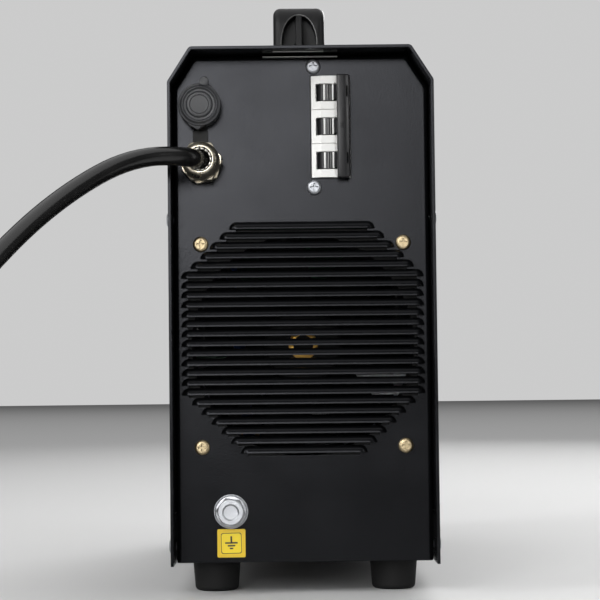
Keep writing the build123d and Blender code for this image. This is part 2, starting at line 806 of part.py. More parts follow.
# ------------------------------------------------------------------ air inlet and its cap
inlet_flange_radius = 7.8
inlet_flange = 2.0
inlet_thread_reach = 9.0
inlet_bore = 3.0
inlet_tail = 14.0
inlet_nut_flats = 20.0
inlet_nut_thickness = 5.0
inlet_place = (inlet_x, inlet_level)
with BuildPart() as air_inlet_fitting:
    for face, reach, radius in (
        (rear_face, inlet_flange, inlet_flange_radius + 0.9),
        (rear_face, inlet_thread_reach, inlet_thread_radius),
        (rear_face, -inlet_tail, inlet_body_radius),
    ):
        with BuildSketch(rear_plane(face)):
            with Locations(inlet_place):
                Circle(radius)
        extrude(amount=reach)
    with BuildSketch(rear_plane(rear_face + inlet_tail)):
        with Locations(inlet_place):
            Circle(inlet_bore)
    extrude(amount=inlet_tail + inlet_thread_reach, mode=Mode.SUBTRACT)
export(air_inlet_fitting.part, "air_inlet_fitting")

with BuildPart() as air_inlet_nut:
    with Locations(rear_plane(rear_inside + inlet_nut_thickness)):
        with Locations(inlet_place):
            add(hex_nut(inlet_nut_flats, inlet_nut_thickness, inlet_body_radius + thread_clearance))
export(air_inlet_nut.part, "air_inlet_nut")

cap_lift = 1.0
cap_face = rear_face - cap_lift - port_cap_depth
cap_hinge_y = rear_face - 2.5
cap_hinge_level = inlet_level - port_cap_radius - 1.0
strap_width = 7.8
strap_thickness = 1.5
lug_foot = cap_hinge_level + 0.3
with BuildPart() as port_cap:
    with BuildSketch(rear_plane(cap_face)):
        with Locations(inlet_place):
            Circle(port_cap_radius)
            with PolarLocations(port_cap_radius + 1.2, 1, start_angle=90 - cap_tab_turn):
                SlotOverall(5.6, 4.7)
    extrude(amount=-2.6)
    with BuildSketch(rear_plane(cap_face)):
        with Locations(inlet_place):
            Circle(port_cap_radius)
    extrude(amount=-port_cap_depth)
    with BuildSketch(rear_plane(cap_face + 2.0)):
        with Locations(inlet_place):
            Circle(port_cap_radius - port_cap_wall)
    extrude(amount=-port_cap_depth, mode=Mode.SUBTRACT)
    with BuildSketch(rear_plane(cap_face)):
        with Locations(inlet_place):
            Circle(9.4)
            Circle(7.1, mode=Mode.SUBTRACT)
    extrude(amount=-0.7, mode=Mode.SUBTRACT)
    with BuildSketch(rear_plane(cap_hinge_y - 1.7)):
        with Locations((inlet_x, lug_foot)):
            Rectangle(strap_width, 2.4, align=(Align.CENTER, Align.MIN))
    extrude(amount=-2.0)
export(port_cap.part, "port_cap")

gland_place = (gland_x, gland_level)
strap_ring_radius = 10.4
strap_top = cap_hinge_level - 0.5
with BuildPart() as port_cap_strap:
    with BuildSketch(rear_plane(rear_face)):
        with Locations(gland_place):
            Circle(strap_ring_radius)
        with Locations((inlet_x, gland_level)):
            Rectangle(strap_width, strap_top - gland_level, align=(Align.CENTER, Align.MIN))
        with Locations(gland_place):
            Circle(gland_thread_radius + screw_clearance, mode=Mode.SUBTRACT)
    extrude(amount=strap_thickness)
export(port_cap_strap.part, "port_cap_strap")

# ------------------------------------------------------------------ cable gland
gland_flange = 5.0
gland_stub_radius = 7.2
gland_bore = cord_radius + 0.65
gland_tail = 10.0
stub_end = 12.0
nut_start = strap_thickness + gland_flange + 0.5
nut_hex_end = 15.0
seal_end = 16.0
mouth_radius = 6.2
claw_end = gland_reach - 1.0
locknut_thickness = 4.0
with BuildPart() as gland_body:
    with Locations(rear_plane(rear_face - strap_thickness)):
        with Locations(gland_place):
            add(hex_nut(gland_hex, gland_flange, gland_bore))
    for start, reach, radius in (
        (rear_face - strap_thickness, -(strap_thickness + gland_tail), gland_thread_radius),
        (rear_face - strap_thickness, stub_end - strap_thickness, gland_stub_radius),
    ):
        with BuildSketch(rear_plane(start)):
            with Locations(gland_place):
                Circle(radius)
                Circle(gland_bore, mode=Mode.SUBTRACT)
        extrude(amount=reach)
export(gland_body.part, "gland_body")

with BuildPart() as gland_nut:
    with Locations(rear_plane(rear_face - nut_start)):
        with Locations(gland_place):
            add(hex_nut(gland_hex, nut_hex_end - nut_start, mouth_radius))
    with BuildSketch(rear_plane(rear_face - nut_hex_end)):
        with Locations(gland_place):
            Circle(gland_hex / 2 - 0.2)
    with BuildSketch(rear_plane(rear_face - gland_reach)):
        with Locations(gland_place):
            Circle(mouth_radius + 1.2)
    loft()
    with BuildSketch(rear_plane(rear_face)):
        with Locations(gland_place):
            Circle(mouth_radius)
    extrude(amount=gland_reach + 1, mode=Mode.SUBTRACT)
    with BuildSketch(rear_plane(rear_face)):
        with Locations(gland_place):
            Circle(gland_stub_radius + thread_clearance)
    extrude(amount=seal_end, mode=Mode.SUBTRACT)
export(gland_nut.part, "gland_nut")

with BuildPart() as gland_seal:
    with BuildSketch(rear_plane(rear_face - stub_end)):
        with Locations(gland_place):
            Circle(gland_stub_radius - 0.1)
            Circle(cord_radius, mode=Mode.SUBTRACT)
    extrude(amount=seal_end - stub_end)
export(gland_seal.part, "gland_seal")

claw_count = 8
with BuildPart() as gland_claw:
    with BuildSketch(rear_plane(rear_face - seal_end)):
        with Locations(gland_place):
            Circle(mouth_radius - 0.15)
            Circle(cord_radius + 0.25, mode=Mode.SUBTRACT)
    extrude(amount=claw_end - seal_end)
    with BuildSketch(rear_plane(rear_face - seal_end - 1.5)):
        with Locations(gland_place):
            with PolarLocations(cord_radius + 1.2, claw_count):
                Rectangle(4, 0.8)
    extrude(amount=claw_end, mode=Mode.SUBTRACT)
export(gland_claw.part, "gland_claw")

with BuildPart() as gland_locknut:
    with Locations(rear_plane(rear_inside + locknut_thickness)):
        with Locations(gland_place):
            add(hex_nut(gland_hex, locknut_thickness, gland_thread_radius + thread_clearance))
export(gland_locknut.part, "gland_locknut")

# ------------------------------------------------------------------ earth point
ground_flats = 13.0
ground_washer_radius = 8.8
ground_washer_thickness = 1.2
ground_flange_radius = 8.4
ground_flange = 1.6
ground_head = 6.0
ground_nut_thickness = 6.5
ground_place = (ground_x, ground_level)
with BuildPart() as ground_washer:
    with BuildSketch(rear_plane(rear_face)):
        with Locations(ground_place):
            Circle(ground_washer_radius)
            Circle(ground_radius + screw_clearance, mode=Mode.SUBTRACT)
    extrude(amount=ground_washer_thickness)
export(ground_washer.part, "ground_washer")

bolt_seat = rear_face - ground_washer_thickness
with BuildPart() as ground_bolt:
    with BuildSketch(rear_plane(bolt_seat)):
        with Locations(ground_place):
            Circle(ground_flange_radius)
    extrude(amount=ground_flange)
    with BuildSketch(rear_plane(bolt_seat - ground_flange)):
        with Locations(ground_place):
            RegularPolygon(ground_flats / 2, 6, major_radius=False)
    extrude(amount=ground_head)
    chamfer(ground_bolt.faces().sort_by(Axis.Y)[0].edges(), 0.6)
    with BuildSketch(rear_plane(bolt_seat)):
        with Locations(ground_place):
            Circle(ground_radius)
    extrude(amount=-(ground_washer_thickness + panel_sheet + ground_nut_thickness + 6))
export(ground_bolt.part, "ground_bolt")

with BuildPart() as ground_nut:
    with Locations(rear_plane(rear_inside + ground_nut_thickness)):
        with Locations(ground_place):
            add(hex_nut(ground_flats, ground_nut_thickness, ground_radius + thread_clearance))
export(ground_nut.part, "ground_nut")

label_thickness = 0.2
with BuildPart() as earth_label:
    with BuildSketch(rear_plane(rear_face)):
        with Locations((ground_x, base_level + label_height)):
            RectangleRounded(label_size, label_size, 0.8)
    extrude(amount=label_thickness)
export(earth_label.part, "earth_label")

# ------------------------------------------------------------------ front controls
with BuildPart() as control_fascia:
    with BuildSketch(front_plane(front_face)):
        with Locations((0, fascia_level)):
            RectangleRounded(fascia_width, fascia_height, 6)
    extrude(amount=fascia_thickness)
    fillet(control_fascia.faces().sort_by(Axis.Y)[-1].edges(), 1.2)
    with BuildSketch(front_plane(front_face + fascia_thickness)):
        with Locations((display_x, display_level)):
            Rectangle(display_width + 0.6, display_height + 0.6)
    extrude(amount=-(display_thickness + 0.2), mode=Mode.SUBTRACT)
    with BuildSketch(front_plane(front_face)):
        with Locations((knob_x, knob_level)):
            Circle(pot_bush_radius + screw_clearance)
        with Locations((rocker_x, rocker_level)):
            Rectangle(rocker_width + 0.8, rocker_height + 0.8)
        with Locations((button_x, button_level)):
            Circle(button_radius + 0.3)
        with Locations((lamp_x, display_level)):
            with GridLocations(1, lamp_pitch, 1, 3):
                Circle(lamp_radius + 0.1)
    extrude(amount=fascia_thickness, mode=Mode.SUBTRACT)
export(control_fascia.part, "control_fascia")

with BuildPart() as display_window:
    with BuildSketch(front_plane(front_face + fascia_thickness - display_thickness)):
        with Locations((display_x, display_level)):
            RectangleRounded(display_width, display_height, 1)
    extrude(amount=display_thickness - 0.3)
export(display_window.part, "display_window")

board_gap = 16.0
board_thickness = 1.6
board_face = front_inside - board_gap
with BuildPart() as indicator_lamps:
    with BuildSketch(front_plane(board_face)):
        with Locations((lamp_x, display_level)):
            with GridLocations(1, lamp_pitch, 1, 3):
                Circle(lamp_radius)
    extrude(amount=front_face + fascia_thickness + 0.8 - board_face)
    fillet(indicator_lamps.faces().group_by(Axis.Y)[-1].edges(), 1.2)
export(indicator_lamps.part, "indicator_lamps")

pot_body_radius = 8.0
pot_body_depth = 7.0
knob_foot = front_face + fascia_thickness + knob_gap
with BuildPart() as potentiometer:
    for start, reach, radius in (
        (front_inside, -pot_body_depth, pot_body_radius),
        (front_inside, panel_sheet + fascia_thickness - 0.4, pot_bush_radius),
        (front_inside, knob_foot + knob_height - 4 - front_inside, pot_shaft_radius),
    ):
        with BuildSketch(front_plane(start)):
            with Locations((knob_x, knob_level)):
                Circle(radius)
        extrude(amount=reach)
export(potentiometer.part, "potentiometer")

with BuildPart() as current_knob:
    with BuildSketch(front_plane(knob_foot)):
        with Locations((knob_x, knob_level)):
            Circle(knob_radius)
    extrude(amount=knob_height, taper=4)
    fillet(current_knob.faces().sort_by(Axis.Y)[-1].edges(), 1.5)
    with BuildSketch(front_plane(knob_foot + knob_height)):
        with Locations((knob_x, knob_level + knob_radius * 0.6)):
            Rectangle(1.6, knob_radius * 0.6)
    extrude(amount=-1.0, mode=Mode.SUBTRACT)
    with BuildSketch(front_plane(knob_foot)):
        with Locations((knob_x, knob_level)):
            Circle(pot_shaft_radius + running_clearance)
    extrude(amount=knob_height - 3, mode=Mode.SUBTRACT)
export(current_knob.part, "current_knob")

rocker_depth = 9.0
rocker_axis_y = front_face - 3.0
rocker_lean = Vector(0, cos(radians(rocker_swing)), -sin(radians(rocker_swing)))
rocker_corner = (-rocker_x - rocker_width / 2, rocker_axis_y, rocker_level)
with BuildPart() as mode_rocker:
    with BuildSketch(Plane(origin=rocker_corner, x_dir=rocker_lean, z_dir=(1, 0, 0))):
        with BuildLine():
            Polyline(
                (-3, -4),
                (rocker_depth - 3, -rocker_height / 2 + 0.9),
                (rocker_depth - 5, 0),
                (rocker_depth - 3, rocker_height / 2 - 0.9),
                (-3, 4),
                close=True,
            )
        make_face()
    extrude(amount=rocker_width)
export(mode_rocker.part, "mode_rocker")

with BuildPart() as air_test_button:
    with BuildSketch(front_plane(front_inside)):
        with Locations((button_x, button_level)):
            Circle(button_radius)
    extrude(amount=panel_sheet + fascia_thickness + 3.5)
    fillet(air_test_button.faces().sort_by(Axis.Y)[-1].edges(), 1)
export(air_test_button.part, "air_test_button")

# ------------------------------------------------------------------ front sockets
torch_flange_radius = 15.0
torch_flange = 4.0
torch_bore = 4.0
torch_tail = 18.0
torch_barb_radius = 4.2
torch_nut_flats = 27.0
torch_nut_thickness = 6.0
torch_place = (-torch_x, socket_level)
with BuildPart() as torch_connector:
    for start, reach, radius in (
        (front_face, torch_flange, torch_flange_radius),
        (front_face, torch_reach, torch_thread_radius),
        (front_face, -(panel_sheet + torch_nut_thickness + 2), torch_thread_radius),
        (front_face, -(panel_sheet + torch_tail), torch_barb_radius),
    ):
        with BuildSketch(front_plane(start)):
            with Locations(torch_place):
                Circle(radius)
        extrude(amount=reach)
    chamfer(torch_connector.faces().sort_by(Axis.Y)[-1].edges(), 1)
    with BuildSketch(front_plane(front_face + torch_reach)):
        with Locations(torch_place):
            Circle(torch_bore)
    extrude(amount=-torch_reach, mode=Mode.SUBTRACT)
export(torch_connector.part, "torch_connector")

with BuildPart() as torch_connector_nut:
    with Locations(front_plane(front_inside - torch_nut_thickness)):
        with Locations(torch_place):
            add(hex_nut(torch_nut_flats, torch_nut_thickness, torch_thread_radius + thread_clearance))
export(torch_connector_nut.part, "torch_connector_nut")

trigger_place = (-torch_x, trigger_level)
with BuildPart() as trigger_socket:
    for start, reach, radius in (
        (front_face, 2.0, trigger_thread_radius + 2.6),
        (front_face, 11.0, trigger_thread_radius),
        (front_face, -14.0, trigger_thread_radius),
    ):
        with BuildSketch(front_plane(start)):
            with Locations(trigger_place):
                Circle(radius)
        extrude(amount=reach)
    with BuildSketch(front_plane(front_face + 11.0)):
        with Locations(trigger_place):
            Circle(trigger_thread_radius - 1.6)
            with GridLocations(5, 1, 2, 1):
                Circle(0.8, mode=Mode.SUBTRACT)
    extrude(amount=-8.5, mode=Mode.SUBTRACT)
export(trigger_socket.part, "trigger_socket")

work_bore = 6.5
work_bore_depth = 26.0
work_collar_radius = 12.0
work_place = (-work_x, socket_level)
with BuildPart() as work_socket:
    for start, reach, radius in (
        (front_face, 4.0, work_body_radius + 4),
        (front_face, 13.0, work_collar_radius),
        (front_face, -22.0, work_body_radius),
    ):
        with BuildSketch(front_plane(start)):
            with Locations(work_place):
                Circle(radius)
        extrude(amount=reach)
    fillet(work_socket.faces().sort_by(Axis.Y)[-1].edges(), 1.5)
    with BuildSketch(front_plane(front_face + 13.0)):
        with Locations(work_place):
            Circle(work_bore)
    extrude(amount=-work_bore_depth, mode=Mode.SUBTRACT)
export(work_socket.part, "work_socket")

# ------------------------------------------------------------------ power section
sink_start = fan_far + 12.0
sink_length = 150.0
sink_height = 104.0
sink_base = 4.0
sink_fin = 1.6
sink_fin_reach = 34.0
sink_fins = 12
sink_side_gap = 7.0
sink_outer = half_width - sink_side_gap
sink_names = {"heatsink_left": -1, "heatsink_right": 1}
sink_middle = sink_start + sink_length / 2
sink_pitch = (sink_height - sink_fin) / (sink_fins - 1)

for sink_name, side in sink_names.items():
    with BuildPart() as heatsink:
        with BuildSketch(rear_plane(sink_start)):
            with Locations((side * (sink_outer - sink_base / 2), base_top + sink_height / 2)):
                Rectangle(sink_base, sink_height)
            fin_middle = side * (sink_outer - sink_base - sink_fin_reach / 2)
            with Locations((fin_middle, base_top + sink_height / 2)):
                with GridLocations(1, sink_pitch, 1, sink_fins):
                    Rectangle(sink_fin_reach, sink_fin)
        extrude(amount=-sink_length)
    export(heatsink.part, sink_name)

board_level = base_top + sink_height
with BuildPart() as power_board:
    with BuildSketch(Plane.XY.offset(board_level)):
        with Locations((0, sink_middle)):
            Rectangle(2 * sink_outer, sink_length)
    extrude(amount=board_thickness)
export(power_board.part, "power_board")

capacitor_radius = 12.5
capacitor_height = 40.0
capacitor_seat = board_level + board_thickness
with BuildPart() as capacitors:
    with BuildSketch(Plane.XY.offset(capacitor_seat)):
        with Locations((0, sink_middle + 20)):
            with GridLocations(34, 34, 2, 2):
                Circle(capacitor_radius)
    extrude(amount=capacitor_height)
    fillet(capacitors.faces().group_by(Axis.Z)[-1].edges(), 1.5)
export(capacitors.part, "capacitors")

core_width = 64.0
core_height = 54.0
core_depth = 34.0
core_leg = 16.0
core_window = 14.0
core_yoke = 10.0
core_setback = 76.0
core_y = front_inside - core_setback
winding_gap = 0.3
winding_over = 9.0
winding_width = core_leg + 2 * core_window - 2 * winding_gap
with BuildPart() as transformer_core:
    with BuildSketch(rear_plane(core_y - core_depth / 2)):
        with Locations((0, base_top)):
            Rectangle(core_width, core_height, align=(Align.CENTER, Align.MIN))
        with Locations((0, base_top + core_height / 2)):
            with GridLocations(core_leg + core_window, 1, 2, 1):
                Rectangle(core_window, core_height - 2 * core_yoke, mode=Mode.SUBTRACT)
    extrude(amount=-core_depth)
export(transformer_core.part, "transformer_core")

winding_height = core_height - 2 * core_yoke - 2 * winding_gap
with BuildPart() as transformer_winding:
    with BuildSketch(Plane.XY.offset(base_top + core_yoke + winding_gap)):
        with Locations((0, core_y)):
            RectangleRounded(winding_width, core_depth + 2 * winding_over, 6)
            Rectangle(
                core_leg + 2 * winding_gap,
                core_depth + 2 * winding_gap,
                mode=Mode.SUBTRACT,
            )
    extrude(amount=winding_height)
export(transformer_winding.part, "transformer_winding")

spacer_radius = 3.0
spacer_inset = 5.0
control_board_width = fascia_width - 8.0
control_board_height = fascia_height - 4.0
with BuildPart() as control_board:
    with BuildSketch(front_plane(board_face)):
        with Locations((0, fascia_level)):
            Rectangle(control_board_width, control_board_height)
    extrude(amount=-board_thickness)
    with BuildSketch(front_plane(board_face)):
        with Locations((0, fascia_level)):
            with GridLocations(
                control_board_width - 2 * spacer_inset,
                control_board_height - 2 * spacer_inset,
                2,
                2,
            ):
                Circle(spacer_radius)
    extrude(amount=board_gap)
export(control_board.part, "control_board")

valve_half = 9.0
valve_length = 26.0
valve_start = rear_face + inlet_tail
valve_coil_drop = 30.0
with BuildPart() as solenoid_valve:
    with BuildSketch(rear_plane(valve_start)):
        with Locations(inlet_place):
            Rectangle(2 * valve_half, 2 * valve_half)
    extrude(amount=-valve_length)
    with BuildSketch(Plane.XY.offset(inlet_level - valve_half)):
        with Locations((inlet_x, valve_start + valve_length / 2 + 3)):
            RectangleRounded(2 * valve_half, 18, 3)
    extrude(amount=-valve_coil_drop)
export(solenoid_valve.part, "solenoid_valve")

hose_radius = 4.0
hose_start = valve_start + valve_length
hose_end = front_inside - torch_tail
hose_drop_y = hose_end - 36.0
with BuildPart() as air_hose:
    with BuildLine() as hose_route:
        FilletPolyline(
            (inlet_x, hose_start, inlet_level),
            (inlet_x, hose_drop_y, inlet_level),
            (torch_x, hose_drop_y, socket_level),
            (torch_x, hose_end, socket_level),
            radius=30,
        )
    with BuildSketch(Plane(origin=hose_route.line @ 0, z_dir=hose_route.line % 0)):
        Circle(hose_radius)
    sweep()
export(air_hose.part, "air_hose")

# ------------------------------------------------------------------ mains cord
# The first stretch leaves the gland, bends left and falls to the floor; the rest lies coiled.
cord_points = [
    (gland_x, rear_face - 8, gland_level),
    (gland_x, rear_face - 36, gland_level),
    (-83, rear_face - 60, 219.5),
    (-113, rear_face - 100, 196),
    (-137, rear_face - 150, 164),
    (-160, rear_face - 203, 122),
    (-171, rear_face - 228, 68),
    (-179, rear_face - 236, 28),
    (-206, rear_face - 235.5, cord_radius),
    (-248, rear_face - 224.5, cord_radius),
]


def bend_radii(points):
    """Radius at each corner: 0.45 of the shorter run over the tangent of half the turn."""
    radii = []
    for before, corner, after in zip(points, points[1:], points[2:]):
        run_in = Vector(corner) - Vector(before)
        run_out = Vector(after) - Vector(corner)
        half_turn = radians(run_in.get_angle(run_out)) / 2
        radii.append(0.45 * min(run_in.length, run_out.length) / tan(half_turn))
    return radii


cord_radii = bend_radii(cord_points)
print("cord bend radii", [round(r, 1) for r in cord_radii])
with BuildPart() as power_cord:
    with BuildLine() as cord_route:
        FilletPolyline(*cord_points, radius=cord_radii)
    with BuildSketch(Plane(origin=cord_route.line @ 0, z_dir=cord_route.line % 0)):
        Circle(cord_radius)
    sweep()
cord_length = sum(edge.length for edge in cord_route.edges())
cord_fill = power_cord.part.volume / (cord_length * pi * cord_radius**2)
print("cord length", round(cord_length, 1), "volume over section times length", round(cord_fill, 4))
export(power_cord.part, "power_cord")

coil_x = -225.0
coil_y = rear_face - 160.0
coil_layers = 2
coil_columns = 4
coil_mean_radius = 53.9
coil_wide = coil_columns * 2 * cord_radius
coil_outer = coil_mean_radius + coil_wide / 2
coil_inner = coil_mean_radius - coil_wide / 2
with BuildPart() as cord_coil:
    with BuildSketch(Plane.XY):
        with Locations((coil_x, coil_y)):
            Circle(coil_outer)
            Circle(coil_inner, mode=Mode.SUBTRACT)
    extrude(amount=coil_layers * 2 * cord_radius)
    fillet(cord_coil.edges().filter_by(GeomType.CIRCLE), cord_radius * 0.9)
export(cord_coil.part, "cord_coil")

plug_radius = 18.0
plug_strand = coil_outer - cord_radius
plug_x = coil_x - plug_strand
plug_relief_start = coil_y + (coil_outer**2 - plug_strand**2) ** 0.5 - 3
plug_relief = 32.0
plug_body = 40.0
pin_spacing = 19.0
pin_radius = 2.4
pin_length = 19.0
with BuildPart() as cord_plug:
    with BuildSketch(front_plane(plug_relief_start)):
        with Locations((-plug_x, plug_radius)):
            Circle(cord_radius + 1.0)
    with BuildSketch(front_plane(plug_relief_start + plug_relief)):
        with Locations((-plug_x, plug_radius)):
            Circle(cord_radius + 4.0)
    loft()
    with BuildSketch(front_plane(plug_relief_start + plug_relief)):
        with Locations((-plug_x, plug_radius)):
            Circle(plug_radius)
    extrude(amount=plug_body)
    fillet(cord_plug.faces().filter_by(Axis.Y).sort_by(Axis.Y)[1].edges().sort_by(SortBy.RADIUS)[-1], 7)
    with BuildSketch(front_plane(plug_relief_start + plug_relief + plug_body)):
        with Locations((-plug_x, plug_radius)):
            with GridLocations(pin_spacing, 1, 2, 1):
                Circle(pin_radius)
    extrude(amount=pin_length)
export(cord_plug.part, "cord_plug")
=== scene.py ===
from math import asin, atan2, cos, pi, radians, sin, sqrt

import bmesh
import bpy
from mathutils import Matrix, Vector


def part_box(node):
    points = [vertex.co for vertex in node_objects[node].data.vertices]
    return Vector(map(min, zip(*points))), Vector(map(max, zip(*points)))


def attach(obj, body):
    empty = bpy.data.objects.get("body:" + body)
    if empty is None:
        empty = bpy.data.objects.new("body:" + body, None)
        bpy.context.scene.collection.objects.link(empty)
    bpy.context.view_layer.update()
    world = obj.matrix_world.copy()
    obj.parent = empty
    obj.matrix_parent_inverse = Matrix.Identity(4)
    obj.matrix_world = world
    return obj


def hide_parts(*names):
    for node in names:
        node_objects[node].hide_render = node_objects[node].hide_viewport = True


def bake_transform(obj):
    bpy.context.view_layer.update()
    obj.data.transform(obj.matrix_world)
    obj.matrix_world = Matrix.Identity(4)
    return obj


bl_info = {
    "name": "Plasma cutter unit",
    "version": (1, 0, 0),
    "blender": (4, 5, 0),
    "location": "3D Viewport > Sidebar > Plasma Cutter",
    "description": "Dresses the plasma cutter unit: finish, fittings, mains cord and stage",
    "category": "Object",
}

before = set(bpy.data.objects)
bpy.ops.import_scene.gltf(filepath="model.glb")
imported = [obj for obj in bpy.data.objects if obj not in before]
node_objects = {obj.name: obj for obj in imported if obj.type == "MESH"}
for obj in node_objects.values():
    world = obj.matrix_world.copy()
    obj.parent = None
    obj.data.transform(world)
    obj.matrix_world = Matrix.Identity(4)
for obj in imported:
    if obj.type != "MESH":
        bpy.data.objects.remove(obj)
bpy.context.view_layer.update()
OUT = Vector((0, -1, 0))
ACROSS = Vector((1, 0, 0))
UP = Vector((0, 0, 1))


def mm(*values):
    """Point or size in millimetres, as a vector in metres."""
    return Vector(values) / 1000


def middle(node):
    """Centre of a CAD node's box."""
    low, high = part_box(node)
    return (Vector(low) + Vector(high)) / 2


REAR_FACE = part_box("earth_label")[1].y
FRONT_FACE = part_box("control_fascia")[1].y


# ---------------------------------------------------------------- settings
def colour_setting(name, description, default):
    """Colour that a user can change."""
    return bpy.props.FloatVectorProperty(
        name=name,
        description=description,
        default=default,
        subtype="COLOR",
        size=3,
        min=0.0,
        max=1.0,
    )


def power_setting(name, description, default):
    """Power of a lamp, in watts."""
    return bpy.props.FloatProperty(
        name=name, description=description, default=default, min=0.0, unit="POWER"
    )


class CutterPaintSettings(bpy.types.PropertyGroup):
    """Powder coat of the case and the finish of its fasteners"""

    paint: colour_setting(
        "Powder coat", "Colour of the coated sheet metal", (0.0024, 0.0025, 0.0028)
    )
    paint_roughness: bpy.props.FloatProperty(
        name="Coat roughness",
        description="How dull the powder coat is",
        default=0.21,
        min=0.05,
        max=1.0,
        subtype="FACTOR",
    )
    zinc: colour_setting(
        "Zinc plating", "Colour of the clear zinc plating on screws and bolts", (0.34, 0.35, 0.37)
    )
    yellow_zinc: colour_setting(
        "Yellow zinc", "Colour of the yellow passivated screws", (0.42, 0.34, 0.21)
    )


class CutterBreakerSettings(bpy.types.PropertyGroup):
    """Colours of the three-pole breaker"""

    shell: colour_setting(
        "Pole shell", "Colour of the white pole housings", (0.72, 0.72, 0.70)
    )
    toggle: colour_setting(
        "Toggle", "Colour of the toggles and the tie bar", (0.012, 0.012, 0.013)
    )


class CutterCordSettings(bpy.types.PropertyGroup):
    """Mains cord and its coil"""

    diameter: bpy.props.FloatProperty(
        name="Diameter",
        description="Outer diameter of the mains cord",
        default=0.0095,
        min=0.004,
        unit="LENGTH",
    )
    coil_radius: bpy.props.FloatProperty(
        name="Coil radius",
        description="Mean radius of the wound part of the cord",
        default=0.0539,
        min=0.03,
        unit="LENGTH",
    )
    coil_turns: bpy.props.FloatProperty(
        name="Coil turns",
        description="Turns in the wound part of the cord",
        default=7.25,
        min=2.0,
    )
    jacket: colour_setting(
        "Jacket", "Colour of the cord's rubber jacket", (0.006, 0.006, 0.006)
    )


class CutterLabelSettings(bpy.types.PropertyGroup):
    """Earth label"""

    background: colour_setting(
        "Label background", "Colour of the earth label", (0.74, 0.50, 0.004)
    )
    print_width: bpy.props.FloatProperty(
        name="Print width",
        description="Width of the lines of the earth symbol",
        default=0.0008,
        min=0.0002,
        unit="LENGTH",
    )


class CutterStageSettings(bpy.types.PropertyGroup):
    """Floor, backdrop light and lamps"""

    floor: colour_setting(
        "Floor", "Colour of the studio floor", (0.55, 0.55, 0.55)
    )
    backdrop: bpy.props.FloatProperty(
        name="Backdrop",
        description="Brightness of the plain backdrop",
        default=0.6,
        min=0.0,
    )
    ambient: bpy.props.FloatProperty(
        name="Ambient",
        description="Brightness of the surround as light",
        default=0.10,
        min=0.0,
    )
    key_power: power_setting(
        "Key lamp", "Power of the lamp high on the left", 1.5
    )
    sheen_power: power_setting(
        "Sheen lamp", "Power of the lamp that shines on the upper panel", 3.2
    )
    side_power: power_setting(
        "Side lamps", "Power of the narrow lamp on the left; the right one has a third of it", 9.0
    )
    top_power: power_setting(
        "Top lamp", "Power of the overhead lamp", 380.0
    )
    front_power: power_setting(
        "Front lamp", "Power of the lamp that faces the controls", 10.0
    )


SETTINGS = {
    "cutter_paint": CutterPaintSettings,
    "cutter_breaker": CutterBreakerSettings,
    "cutter_cord": CutterCordSettings,
    "cutter_label": CutterLabelSettings,
    "cutter_stage": CutterStageSettings,
}


# ---------------------------------------------------------------- node tools
def add_node(tree, kind, inputs=None, **settings):
    """A shader node with its settings, and its inputs linked or set."""
    made = tree.nodes.new(kind)
    for name, value in settings.items():
        setattr(made, name, value)
    for socket, value in (inputs or {}).items():
        if isinstance(value, bpy.types.NodeSocket):
            tree.links.new(value, made.inputs[socket])
        else:
            made.inputs[socket].default_value = value
    return made


def mix_colours(tree, factor, first, second):
    """Colour that goes from first to second with the factor."""
    blend = add_node(tree, "ShaderNodeMix", data_type="RGBA")
    for index, value in ((0, factor), (6, first), (7, second)):
        if isinstance(value, bpy.types.NodeSocket):
            tree.links.new(value, blend.inputs[index])
        elif index == 0:
            blend.inputs[index].default_value = value
        else:
            blend.inputs[index].default_value = (*value, 1.0)
    return blend.outputs[2]


def remap(tree, value, low, high, to_low, to_high):
    """Value brought from one range to another, clamped."""
    return add_node(
        tree,
        "ShaderNodeMapRange",
        {"Value": value, "From Min": low, "From Max": high, "To Min": to_low, "To Max": to_high},
    ).outputs["Result"]


def multiply(tree, first, second):
    """Product of two values."""
    return add_node(tree, "ShaderNodeMath", {0: first, 1: second}, operation="MULTIPLY").outputs[0]


def shade(colour, amount):
    """Colour made lighter or darker by a share."""
    return tuple(max(0.0, min(1.0, channel * (1 + amount))) for channel in colour)


